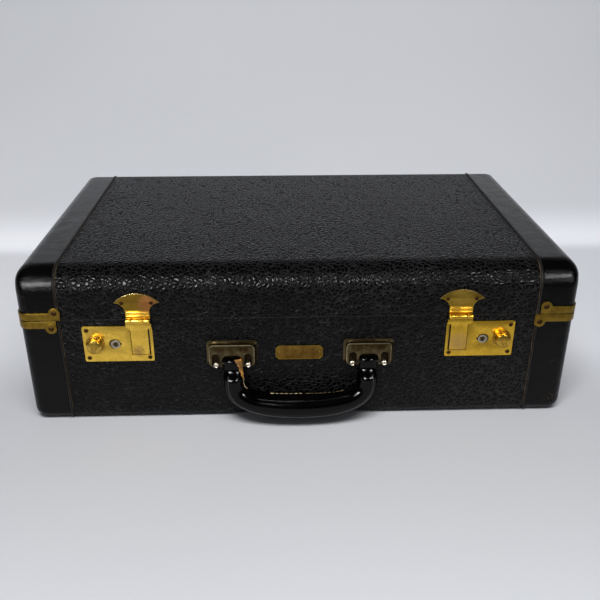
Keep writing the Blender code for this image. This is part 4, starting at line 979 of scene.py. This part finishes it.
def keyholeMesh(name, side):
    # a pale ring round a keyhole on the face of the key core; the keyhole is a thin dark sheet, painted
    # shade where the hole would be
    low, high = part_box("lock_core_left" if side < 0 else "lock_core_right")
    x, z, face = (low[0] + high[0]) / 2, (low[2] + high[2]) / 2, low[1]
    ring = turnedMesh(
        "ring",
        [
            (0.0028, 0.00005), (0.0030, 0.00030), (0.0036, 0.00040), (0.0042, 0.00030),
            (0.0044, 0.00005)],
        (x, face, z), (0, -1, 0), 40)
    disc = plateMesh("disc", [arc((x, z), 0.0029, 0, 351, 39)], face, face - 0.0001, 0.00002)
    # painted shade: the keyhole is a near-black sheet laid on the core, not a hole
    hole = arc((x, z + 0.0007), 0.0012, -60, 240, 20) + [
        (x - 0.0007, z - 0.0023), (x + 0.0007, z - 0.0023)]
    hole = plateMesh("hole", [hole], face, face - 0.00016, 0.00002)
    for index, mesh in enumerate((ring, disc, hole)):
        for polygon in mesh.polygons:
            polygon.material_index = index
    mesh = joined(name, [ring, disc, hole])
    for finish in ("steel", "coreSteel", "darkSteelAndShade"):
        mesh.materials.append(finishes[finish])
    return mesh


for sideName, side in ends:
    addPiece(
        f"keyhole.{sideName}", keyholeMesh(f"keyhole.{sideName}", side), "steel",
        f"lock_core_{sideName}")
print("locks made")


# hasps and their fan plates

haspSizes = {
    "sheet": 0.0012, "knuckle": 0.0026, "axisY": -0.1683, "neck": 0.0226, "fan": 0.0427,
    "nailSpacing": 0.0275, "bead": 0.0011, "beads": (0.1160, 0.1196), "link": 0.0115}


def fanOutline(x):
    halfNeck, halfFan = haspSizes["neck"] / 2, haspSizes["fan"] / 2
    rise = hasp["apex"] - hasp["tip"]
    radius = (halfFan ** 2 + rise ** 2) / (2 * rise)
    spread = math.degrees(math.asin(halfFan / radius))
    neck, tip = (halfNeck, hasp["neckTop"]), (halfFan, hasp["tip"])
    pull = (halfNeck + (halfFan - halfNeck) * 0.28, hasp["tip"])
    side = [(halfNeck, lidRim)]
    for step in range(12):
        t = step / 12
        weights = ((1 - t) ** 2, 2 * t * (1 - t), t ** 2)
        side.append(
            tuple(sum(w * p[i] for w, p in zip(weights, (neck, pull, tip))) for i in range(2)))
    top = arc((0, hasp["apex"] - radius), radius, 90 - spread, 90 + spread, 28)
    return [(x + px, pz) for px, pz in side + top + [(-px, pz) for px, pz in reversed(side)]]


def fanPlateMesh(name, side):
    x = side * hasp["x"]
    y, z = haspSizes["axisY"], case["seam"]
    face = plateBack - haspSizes["sheet"]
    half, middle = haspSizes["neck"] / 2, haspSizes["link"] / 2 + case["gap"]
    plate = plateMesh(name, [fanOutline(x)], plateBack, face, 0.00025)
    relief = tubeMesh(
        "relief", [(x - middle, y, z), (x + middle, y, z)], haspSizes["knuckle"] + 0.0003, 24)
    plate = carved(plate, [relief])
    parts = [plate]
    for a, b in ((x - half, x - middle), (x + middle, x + half)):
        parts.append(barMesh("knuckle", (a, y, z), (b, y, z), haspSizes["knuckle"], 0.00025, 28))
    for height in haspSizes["beads"]:
        parts.append(
            barMesh(
                "bead", (x - half + 0.0006, face, height), (x + half - 0.0006, face, height),
                haspSizes["bead"], 0.0005, 16))
    mesh = joined(name, parts)
    sideName = "left" if side < 0 else "right"
    for finish in (sideName + "Brass", sideName + "FanPaintedShade", "edgeGlint"):
        mesh.materials.append(finishes[finish])
    # painted shade: the fan's flat face above the beads takes the darker copy; painted highlight: faces
    # above the tips turned up and forward take edgeGlint
    for polygon in mesh.polygons:
        if polygon.normal.y < -0.95 and polygon.center.z > haspSizes["beads"][1] + haspSizes["bead"]:
            polygon.material_index = 1
        elif polygon.normal.y < -0.2 and polygon.normal.z > 0.2 and polygon.center.z > hasp["tip"]:
            polygon.material_index = 2
    return mesh


def haspMesh(name, side):
    x = side * hasp["x"]
    y, z = haspSizes["axisY"], case["seam"]
    over = plateBack - lock["thickness"] - case["gap"]
    halfTongue, half = tongue["width"] / 2, tongue["half"]
    top = z - haspSizes["knuckle"] - 0.0006
    low = tongue["shoulder"]
    if side < 0:
        outline = [
            (x - halfTongue, low), (x + halfTongue, low), (x + halfTongue + 0.0012, low + 0.0016),
            (x + half, low + 0.0034), (x + half, top), (x - half, top), (x - half, low + 0.0034),
            (x - halfTongue - 0.0012, low + 0.0016)]
    else:
        # this one's plating has chipped along its lower edge
        drops = (
            (-0.0121, 0.0030), (-0.0106, 0.0012), (-0.0093, 0.0018), (-0.0078, -0.0003),
            (-0.0058, 0.0006), (-0.0040, -0.0011), (-0.0022, 0.0009), (-0.0006, 0.0001),
            (0.0010, 0.0014), (0.0029, -0.0008), (0.0046, -0.0022), (0.0060, -0.0006),
            (0.0076, 0.0011), (0.0094, 0.0020), (0.0121, 0.0034))
        outline = [(x + dx, low + dz) for dx, dz in drops] + [(x + half, top), (x - half, top)]
    shoulder = plateMesh(name, [outline], over, over - haspSizes["sheet"], 0.00022)
    tongueLine = roundedRectangle(
        (x - halfTongue, tongue["bottom"]), (x + halfTongue, top - 0.0003), 0.001, 4)
    flat = plateMesh(name, [tongueLine], plateBack, plateBack - lock["thickness"], 0.00022)
    root = boxMesh(
        (x - halfTongue + 0.0003, over - 0.0009, low + 0.0028),
        (x + halfTongue - 0.0003, plateBack - 0.0003, top - 0.0006))
    wide = haspSizes["link"] / 2
    link = boxMesh(
        (x - wide, over - haspSizes["sheet"] + 0.0003, low + 0.0045), (x + wide, over - 0.0003, z))
    knuckle = barMesh(
        "knuckle", (x - wide, y, z), (x + wide, y, z), haspSizes["knuckle"], 0.00025, 28)
    catch = boxMesh(
        (x - 0.0008, plateBack - 0.0006, lock["z"] - 0.005),
        (x + 0.0008, plateBack + 0.0043, lock["z"] + 0.005))
    eye = boxMesh(
        (x - 0.0043, -0.1642, lock["z"] - 0.0025), (x + 0.0043, -0.1620, lock["z"] + 0.0025))
    catch = bevelled(carved(catch, [eye]), 0.0002, 1)
    return joined(name, [shoulder, flat, root, link, knuckle, catch])


for sideName, side in ends:
    finish = sideName + "Brass"
    names = [f"hasp_plate_{sideName}", f"hasp_nail_{sideName}_outer", f"hasp_nail_{sideName}_inner"]
    addPiece(
        f"fanPlate.{sideName}", fanPlateMesh(f"fanPlate.{sideName}", side), finish, "lid", names)
    addPiece(
        f"hasp.{sideName}", haspMesh(f"hasp.{sideName}", side), finish, f"hasp_{sideName}",
        [f"hasp_{sideName}"])
    spots = [
        (
            (
                side * hasp["x"] + a * haspSizes["nailSpacing"] / 2, plateBack - haspSizes["sheet"],
                hasp["tip"]),
            (0, -1, 0))
        for a in (-1, 1)]
    nails(f"fanNails.{sideName}", spots, *nailSizes["fan"], "nailBrass", "lid")
print("hasps made")


# name plate, left bare

namePlate = {
    "x": -0.001, "z": 0.0738, "width": 0.046, "height": 0.0152, "thickness": 0.001,
    "chamfer": 0.003, "rim": 0.0012, "recess": 0.0004, "pinInset": 0.0033}


def nameOutline(inset):
    w, h, c = namePlate["width"] / 2 - inset, namePlate["height"] / 2 - inset, namePlate["chamfer"]
    corners = (
        (w - c, -h), (w, c - h), (w, h - c), (w - c, h), (c - w, h), (-w, h - c), (-w, c - h),
        (c - w, -h))
    return [(namePlate["x"] + x, namePlate["z"] + z) for x, z in corners]


rimMesh = plateMesh(
    "nameRim", [nameOutline(0), nameOutline(namePlate["rim"])], plateBack,
    plateBack - namePlate["thickness"], 0.0002)
addPiece("nameRim", rimMesh, "edgeBrass", "base", ["name_plate"])
fieldFace = plateBack - namePlate["thickness"] + namePlate["recess"]
addPiece(
    "nameField",
    plateMesh("nameField", [nameOutline(namePlate["rim"] * 0.8)], plateBack, fieldFace, 0.0001),
    "plateBrass", "base", ["name_plate"])
pinX = namePlate["width"] / 2 - namePlate["pinInset"]
spots = [((namePlate["x"] + a * pinX, fieldFace, namePlate["z"]), (0, -1, 0)) for a in (-1, 1)]
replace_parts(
    nails("nameNails", spots, *nailSizes["name"], "edgeBrass", "base"), "name_plate_pin_left",
    "name_plate_pin_right")
print("name plate made")


# handle brackets with their studs

bracket = {
    "x": 0.0663, "bottom": 0.061, "width": 0.049, "height": 0.027, "corner": 0.0035, "thickness": 0.0012,
    "hoodWidth": 0.0445, "topMargin": 0.0018, "hoodDepth": 0.006, "hoodCorner": 0.0045, "soft": 0.0011,
    "archWidth": 0.0192, "archTop": 0.0745, "archRadius": 0.005,
    "studSpacing": 0.0312, "studZ": 0.0635, "stud": 0.0033, "studHeight": 0.0026,
    "pocketWidth": 0.0075, "pocketTop": 0.0765, "pocketDepth": 0.003,
}
pivot = {"y": -0.1725, "z": 0.0665, "pin": 0.0013, "pinLength": 0.0225}


def bracketMesh(name, side):
    x = side * bracket["x"]
    low, top = bracket["bottom"], bracket["bottom"] + bracket["height"]
    half, halfHood = bracket["width"] / 2, bracket["hoodWidth"] / 2
    frontFace = plateBack - bracket["thickness"]
    crown = frontFace - bracket["hoodDepth"]
    flange = plateMesh(
        name, [roundedRectangle((x - half, low), (x + half, top), bracket["corner"], 8)], plateBack,
        frontFace, 0.0003)
    line = roundedRectangle(
        (x - halfHood, low + bracket["topMargin"] / 2), (x + halfHood, top - bracket["topMargin"]),
        bracket["hoodCorner"], 8)
    hood = plateMesh(name, [line], frontFace + 0.0006, crown, bracket["soft"])
    halfArch = bracket["archWidth"] / 2
    arch = plateMesh(
        "arch",
        [
            roundedRectangle(
                (x - halfArch, low - 0.02), (x + halfArch, bracket["archTop"]),
                bracket["archRadius"], 8)],
        frontFace + 0.0008, crown - 0.002, 0.0)
    cutters = [arch]
    for a in (-1, 1):
        px = x + a * bracket["studSpacing"] / 2
        w = bracket["pocketWidth"] / 2
        outline = roundedRectangle(
            (px - w, low - 0.02), (px + w, bracket["pocketTop"]), w - 0.0003, 8)
        cutters.append(
            plateMesh("pocket", [outline], crown + bracket["pocketDepth"], crown - 0.002, 0.0))
    reach = pivot["pinLength"] / 2 + 0.0003
    cutters.append(
        tubeMesh(
            "bore", [(x - reach, pivot["y"], pivot["z"]), (x + reach, pivot["y"], pivot["z"])],
            pivot["pin"] + 0.0003, 16))
    hood = carved(hood, cutters)
    hood = bevelled(hood, 0.00028, 2, 50)
    mesh = joined(name, [flange, hood])
    for finish in ("bracketBrass", "bracketPaintedShade", "bracketGlint"):
        mesh.materials.append(finishes[finish])
    # painted shade: faces in the stud pockets and the arch take the near-black copy; painted highlight:
    # the hood's soft edge turned up and forward takes the glint copy
    slack = 0.0002
    for face in mesh.polygons:
        place, along = face.center, abs(face.center.x - x)
        fromStud = abs(along - bracket["studSpacing"] / 2)
        inPocket = fromStud < bracket[
            "pocketWidth"] / 2 + slack and place.z < bracket["pocketTop"] + slack
        inArch = along < halfArch + slack and place.z < bracket["archTop"] + slack
        onEdge = crown + 0.0001 < place.y < crown + bracket["soft"] and -0.95 < face.normal.y < -0.25
        if (inPocket or inArch) and place.y > crown + 0.0004:
            face.material_index = 1
        elif onEdge and place.z > bracket["bottom"] + 0.006:
            face.material_index = 2
    return mesh


for sideName, side in ends:
    addPiece(
        f"bracket.{sideName}", bracketMesh(f"bracket.{sideName}", side), "bracketBrass", "base",
        [f"handle_bracket_{sideName}"])
    studs = []
    for a in (-1, 1):
        floorY = plateBack - bracket["thickness"] - bracket["hoodDepth"] + bracket[
            "pocketDepth"] - case["gap"]
        r, h = bracket["stud"], bracket["studHeight"]
        profile = [
            (0, h * 0.62), (r * 0.24, h * 0.66), (r * 0.36, h * 0.90), (r * 0.52, h),
            (r * 0.72, h * 0.90), (r * 0.90, h * 0.62), (r, h * 0.28), (r, 0)]
        studs.append(
            turnedMesh(
                "stud", profile,
                (side * bracket["x"] + a * bracket["studSpacing"] / 2, floorY, bracket["studZ"]),
                (0, -1, 0), 28))
    names = [f"bracket_stud_{sideName}_{at}" for at in ("inner", "outer")]
    addPiece(
        f"studs.{sideName}", joined(f"studs.{sideName}", studs), "steel", "base", names)
print("brackets made")


# handle grip

grip = {
    "legX": 0.0656, "endReach": 0.005, "bendHeight": 0.0296, "power": 2.9, "drop": 0.0461, "sides": 72,
    "end": (
        0.0075, 0.0085, 0.0042
    ), "leg": (0.0102, 0.0095, 0.0085), "middle": (0.0135, 0.0130, 0.0122),
    "seam": -14, "seamRise": 0.0009, "crease": 119, "creaseRise": 0.0004,
}


def gripStations():
    # (x, standoff, z, half width, half depth, turn) down the left leg and round to the middle
    stations = []
    off, wide, thick = grip["end"]
    for step in range(7):
        share = math.cos(math.pi / 2 * step / 6)
        depth = max(math.sqrt(max(1 - share ** 4, 0)) * thick, thick * 0.12)
        stations.append(
            (
                -grip["legX"], off, pivot["z"] + grip["endReach"] * share,
                wide - thick / 3 * share ** 4, depth, 0))
    legTop = pivot["z"] - grip["endReach"]
    bendTop = pivot["z"] - grip["drop"] + grip["bendHeight"]
    for step in range(11):
        t = step / 10
        ease = t * t * (3 - 2 * t)
        sizes = [a + (b - a) * ease for a, b in zip(grip["end"], grip["leg"])]
        stations.append(
            (-grip["legX"], sizes[0], legTop - (legTop - bendTop) * t, sizes[1], sizes[2], 0))
    for step in range(1, 41):
        angle = math.pi / 2 * step / 40
        out = max(math.cos(angle), 0) ** (2 / grip["power"])
        down = math.sin(angle) ** (2 / grip["power"])
        sizes = [a + (b - a) * (1 - out ** 2) for a, b in zip(grip["leg"], grip["middle"])]
        slope = grip["power"] - 1
        turn = math.atan2(down ** slope / grip["bendHeight"], out ** slope / grip["legX"])
        stations.append(
            (
                -grip["legX"] * out, sizes[0], bendTop - grip["bendHeight"] * down, sizes[1],
                sizes[2], turn))
    return stations


def gripPoint(station, phi, lift=0.0):
    # phi is 0 on the side towards the middle of the loop and 90 degrees in front
    x, off, z, width, depth, turn = station
    across = (width + lift) * math.cos(phi)
    return Vector(
        (
            x + across * math.cos(turn), front - off - (depth + lift) * math.sin(phi),
            z + across * math.sin(turn)))


leftStations = gripStations()
allStations = leftStations + [
    (-x, off, z, w, d, math.pi - turn)
    for x, off, z, w, d, turn in reversed(leftStations[:-1])]


def nearAngle(phi, degrees, spread):
    return math.exp(
        -(math.degrees(math.remainder(phi - math.radians(degrees), 2 * math.pi)) / spread) ** 2)


def gripRelief(index, phi):
    # the rolled seam on the inner side, the crease on the outer side and a slow unevenness
    count = len(allStations)
    fade = min(1, max(0, (min(index, count - 1 - index) - 8) / 6))
    seam = nearAngle(phi, grip["seam"], 9) - 1.3 * nearAngle(phi, grip["seam"], 2.4)
    crease = nearAngle(phi, grip["crease"], 3.2) - 0.8 * nearAngle(phi, grip["crease"] + 8, 4)
    uneven = math.sin(index * 0.37 + 2 * math.cos(phi)) * 0.5 + math.sin(index * 0.11 + phi * 2)
    return fade * (grip["seamRise"] * seam + grip["creaseRise"] * crease + 0.00010 * uneven)


def gripMesh(name):
    work = bmesh.new()
    loops = []
    for index, station in enumerate(allStations):
        turns = [2 * math.pi * k / grip["sides"] for k in range(grip["sides"])]
        loops.append(
            [work.verts.new(gripPoint(station, phi, gripRelief(index, phi))) for phi in turns])
    for first, second in zip(loops, loops[1:]):
        for k in range(grip["sides"]):
            after = (k + 1) % grip["sides"]
            work.faces.new((first[k], first[after], second[after], second[k]))
    work.faces.new(loops[0])
    work.faces.new(loops[-1])
    return meshFrom(name, work)


gripPiece = addPiece(
    "grip", gripMesh("grip"), "gripLeather", "handle", ["handle_grip"])


def seamLine(first, last, degrees, lift):
    return [
        gripPoint(allStations[index], math.radians(degrees), lift)
        for index in range(first, last)]


def lineObject(name, points):
    mesh = bpy.data.meshes.new(name)
    mesh.from_pydata([tuple(p) for p in points], [(i, i + 1) for i in range(len(points) - 1)], [])
    return loose(mesh)


def stationAt(x):
    return min(range(len(allStations)), key=lambda index: abs(allStations[index][0] - x))


for name, finish, low, high, radius, lift in (
    ("gripStitches", "thread", -0.029, 0.008, 0.00042, 0.0005),
    ("wornStitches", "dirtyThread", 0.008, 0.046, 0.00034, 0.0003)
):
    run = lineObject(name, seamLine(stationAt(low), stationAt(high), grip["seam"] + 9, lift))
    stitches = grownMesh(
        name, run, stitchLine,
        {
            "Spacing": 0.0040, "Length": 0.0042, "Radius": radius, "Seed": 4,
            "Finish": finishes[finish]})
    addPiece(name, stitches, finish, "handle", sharp=0)
# the crease's thin tube, painted lighter as a highlight
ridge = seamLine(12, len(allStations) - 12, grip["crease"], 0.0002)
addPiece(
    "gripRidge", tubeMesh("gripRidge", ridge, 0.00045, 8), "ridgePaintedHighlight", "handle",
    sharp=0)


def tornPatch(name, firstStation, lastStation, lowPhi, highPhi, lift, seed):
    # a ragged scrap of leather on the grip, its outline eaten away at random
    chance = random.Random(seed)
    work = bmesh.new()
    rows = []
    for index in range(firstStation, lastStation + 1):
        t = (index - firstStation) / (lastStation - firstStation)
        low = lowPhi + chance.uniform(-5, 5)
        high = highPhi - (highPhi - lowPhi) * (0.15 + 0.75 * t) * chance.uniform(0.75, 1.15)
        row = []
        for k in range(9):
            phi = math.radians(low + (high - low) * k / 8)
            row.append(
                work.verts.new(
                    gripPoint(allStations[index], phi, lift + chance.uniform(-0.00025, 0.00035))))
        rows.append(row)
    for first, second in zip(rows, rows[1:]):
        for k in range(8):
            work.faces.new((first[k], first[k + 1], second[k + 1], second[k]))
    mesh = meshFrom(name, work, recalc=False)
    return shaped(
        mesh, ("SOLIDIFY", {"thickness": 0.0006, "offset": 0}),
        ("SUBSURF", {"levels": 1, "render_levels": 1}))


addPiece(
    "wornEnd", tornPatch("wornEnd", 1, 17, -14, 96, 0.0006, 7), "rawLeather", "handle",
    sharp=0)
looseEnd = [
    gripPoint(
        allStations[index], math.radians(14 - index * 0.4), 0.0007 + 0.0003 * math.sin(index * 1.3))
    for index in range(11, 31)]
addPiece(
    "looseThread", tubeMesh("looseThread", looseEnd, 0.00048, 8), "thread", "handle",
    sharp=0)
print("handle made")


# back hinges

hinge = {
    "x": 0.160, "width": 0.040, "leaf": 0.027, "sheet": 0.0012, "corner": 0.003, "knuckle": 0.003,
    "axisY": 0.1684, "segments": 5}


def leafOutline(x, seamZ, freeZ):
    half, r = hinge["width"] / 2, hinge["corner"]
    away = math.copysign(1, freeZ - seamZ)
    centreZ = freeZ - away * r
    points = [(x - half, seamZ), (x + half, seamZ)]
    points += arc((x + half - r, centreZ), r, 0, 90 * away, 6)
    return points + arc((x - half + r, centreZ), r, 90 * away, 180 * away, 6)


for sideName, side in ends:
    x = side * hinge["x"]
    start, step = x - hinge["width"] / 2, hinge["width"] / hinge["segments"]
    face = back + case["gap"] + hinge["sheet"]
    for part, rim, free in (
        ("base", baseRim, baseRim - hinge["leaf"]), ("lid", lidRim, lidRim + hinge["leaf"])
    ):
        own = [i for i in range(hinge["segments"]) if (i % 2 == 0) == (part == "base")]
        others = [i for i in range(hinge["segments"]) if i not in own]
        name = f"{part}Hinge.{sideName}"
        leaf = plateMesh(name, [leafOutline(x, rim, free)], back + case["gap"], face, 0.0002)
        reliefs = [
            tubeMesh(
                "relief",
                [
                    (start + i * step - 0.00015, hinge["axisY"], case["seam"]),
                    (start + (i + 1) * step + 0.00015, hinge["axisY"], case["seam"])],
                hinge["knuckle"] + 0.0003, 20)
            for i in others]
        leaf = carved(leaf, reliefs)
        knuckles = [
            barMesh(
                "knuckle", (start + i * step + 0.0003, hinge["axisY"], case["seam"]),
                (start + (i + 1) * step - 0.0003, hinge["axisY"], case["seam"]), hinge["knuckle"],
                0.00025, 24)
            for i in own]
        addPiece(
            name, joined(name, [leaf, *knuckles]), "hingeBrass", part, [f"hinge_{part}_{sideName}"])
        away = 1 if part == "lid" else -1
        spots = [
            ((x + a * 0.0145, face, rim + away * b), (0, 1, 0))
            for a, b in ((-1, 0.0105), (1, 0.0105), (-1, 0.0215), (0, 0.0170), (1, 0.0215))]
        nails(f"{part}HingeNails.{sideName}", spots, *nailSizes["hinge"], "nailBrass", part)
print("hinges made")


# the rest of the imported model gets its finish here

# nickelled steel takes the near-black steel finish, painted shade standing in for the shade the pivot
# pins sit in
slotFinish = {"plywood": "plywood", "lining_cloth": "lining", "nickelled_steel": "darkSteelAndShade"}
coreNodes = {"lock_core_left": "coreSteel", "lock_core_right": "coreSteel"}
slotOf = {row["node"]: row["material_slot"] for row in frame["record"]["subparts"]}
for name, piece in frame["nodes"].items():
    if piece.hide_render:
        continue
    finish = finishes[coreNodes.get(name) or slotFinish.get(slotOf[name], "edgeBrass")]
    piece.data.materials.clear()
    piece.data.materials.append(finish)
print("kept nodes:", [n for n, p in frame["nodes"].items() if not p.hide_render])


# floor, backdrop, light and camera

backdrop = {"begin": 0.30, "radius": 0.50, "top": 0.86, "glow": 0.30, "coveGlow": 0.34}


def stageMaterial():
    material, tree, shader = newMaterial("sweep", Roughness=0.75)
    shader.inputs["Specular IOR Level"].default_value = 0.2
    place = objectPlace(tree)
    tone = mixColour(
        tree, remap(tree, noise(tree, place, 1.3, 2), 0.3, 0.7), (0.60, 0.615, 0.65),
        (0.64, 0.65, 0.68))
    # mirrored in the case, the floor nearer to the camera is darker
    path = node(tree, "ShaderNodeLightPath").outputs
    alongY = node(tree, "ShaderNodeSeparateXYZ", {0: place}).outputs[1]
    mirrored = maths(
        tree, "MULTIPLY", path["Is Glossy Ray"], remap(tree, alongY, -0.46, -0.33, 0.82, 0.0))
    tree.links.new(
        mixColour(tree, mirrored, tone, (0.03, 0.03, 0.033)), shader.inputs["Base Color"])
    # the backdrop glows for the camera and in reflections only, most where the floor starts to curve up
    seen = maths(
        tree, "ADD", maths(tree, "ADD", path["Is Camera Ray"], path["Is Glossy Ray"]),
        path["Is Transmission Ray"])
    cove = maths(
        tree, "MULTIPLY", remap(tree, alongY, 0.27, 0.32), remap(tree, alongY, 0.33, 0.46, 1.0, 0.0)
    )
    glow = maths(
        tree, "ADD",
        maths(
            tree, "MULTIPLY", remap(tree, alongY, -0.165, -0.01, 0.0, backdrop["glow"]),
            remap(tree, alongY, 0.40, 0.78, 1.0, 0.72)),
        maths(tree, "MULTIPLY", cove, backdrop["coveGlow"]))
    # painted light: for the camera only, the floor glows brighter towards the front
    paintedNearGlow = maths(
        tree, "MULTIPLY", path["Is Camera Ray"], remap(tree, alongY, -0.58, -0.22, 0.24, 0.0))
    tree.links.new(tone, shader.inputs["Emission Color"])
    tree.links.new(
        maths(tree, "ADD", maths(tree, "MULTIPLY", seen, glow), paintedNearGlow),
        shader.inputs["Emission Strength"])
    # a camera behind the backdrop sees through it
    behind = node(tree, "ShaderNodeNewGeometry").outputs["Backfacing"]
    share = maths(tree, "MULTIPLY", path["Is Camera Ray"], behind)
    clear = node(tree, "ShaderNodeBsdfTransparent").outputs[0]
    mixed = node(tree, "ShaderNodeMixShader", {0: share, 1: shader.outputs[0], 2: clear}).outputs[0]
    tree.links.new(mixed, tree.nodes["Material Output"].inputs["Surface"])
    return material


def sweepMesh():
    # a floor that curves up into the backdrop
    begin, radius = backdrop["begin"], backdrop["radius"]
    turns = [math.pi / 2 * i / 24 for i in range(25)]
    profile = [(-3.0, 0.0)] + [
        (begin + radius * math.sin(a), radius - radius * math.cos(a))
        for a in turns] + [(begin + radius, backdrop["top"])]
    work = bmesh.new()
    rows = [[work.verts.new((x, y, z)) for x in (-3.0, 3.0)] for y, z in profile]
    for a, b in zip(rows, rows[1:]):
        work.faces.new((a[0], a[1], b[1], b[0]))
    return meshFrom("sweep", work, recalc=False)


sweep = bpy.data.objects.new("sweep", sweepMesh())
bpy.context.scene.collection.objects.link(sweep)
sweep.data.materials.append(stageMaterial())
sweep.data.shade_smooth()


def areaLight(name, place, target, size, power, colour=(1, 1, 1)):
    light = bpy.data.lights.new(name, "AREA")
    light.shape = "RECTANGLE"
    light.size, light.size_y = size
    light.energy = power
    light.color = colour
    lamp = bpy.data.objects.new(name, light)
    bpy.context.scene.collection.objects.link(lamp)
    lamp.location = place
    lamp.rotation_euler = (Vector(target) - Vector(place)).to_track_quat("-Z", "Y").to_euler()
    return lamp


areaLight("leftLight", (-0.2, -0.85, 1.5), (0, -0.1, 0), (0.6, 0.5), 16.3).visible_glossy = False
areaLight("rightLight", (0.42, -0.85, 1.5), (0, -0.1, 0), (0.6, 0.5), 7.0).visible_glossy = False
# what the glossy leather and the brass mirror of those lights and of a window in front
strips = (
    ("leftStrip", (-0.98, -1.95, 1.00), (0.46, 0.42), 38), (
        "middleStrip", (-0.60, -1.95, 1.10), (0.5, 0.26), 11),
    ("rightStrip", (1.08, -1.9, 1.22), (0.46, 0.42), 26), (
        "highSmall", (-0.04, -0.87, 1.5), (0.12, 0.08), 0.6),
)
for name, place, size, power in strips:
    areaLight(name, place, (0, -0.16, 0.14), size, power).visible_diffuse = False

world = bpy.data.worlds.new("studio")
bpy.context.scene.world = world
world.use_nodes = True
sky = world.node_tree.nodes["Background"]
sky.inputs["Color"].default_value = (0.80, 0.82, 0.86, 1)
inMirror = node(world.node_tree, "ShaderNodeLightPath").outputs["Is Glossy Ray"]
world.node_tree.links.new(
    remap(world.node_tree, inMirror, 0, 1, 0.15, 0.04), sky.inputs["Strength"])

shot = {
    "place": (-0.02212, -0.79556, 0.43011), "yaw": -0.03451, "pitch": 0.44445, "roll": 0.00129,
    "lens": 44.467}
camera = bpy.data.objects.new("camera", bpy.data.cameras.new("camera"))
bpy.context.scene.collection.objects.link(camera)
camera.data.sensor_width = 36
camera.data.lens = shot["lens"]
camera.location = shot["place"]
aim = Matrix.Rotation(shot["yaw"], 4, "Z") @ Matrix.Rotation(
    math.pi / 2 - shot["pitch"], 4, "X") @ Matrix.Rotation(shot["roll"], 4, "Z")
camera.rotation_euler = aim.to_euler()
bpy.context.scene.camera = camera
bpy.context.scene.view_settings.view_transform = "Standard"
print("stage, light and camera set")
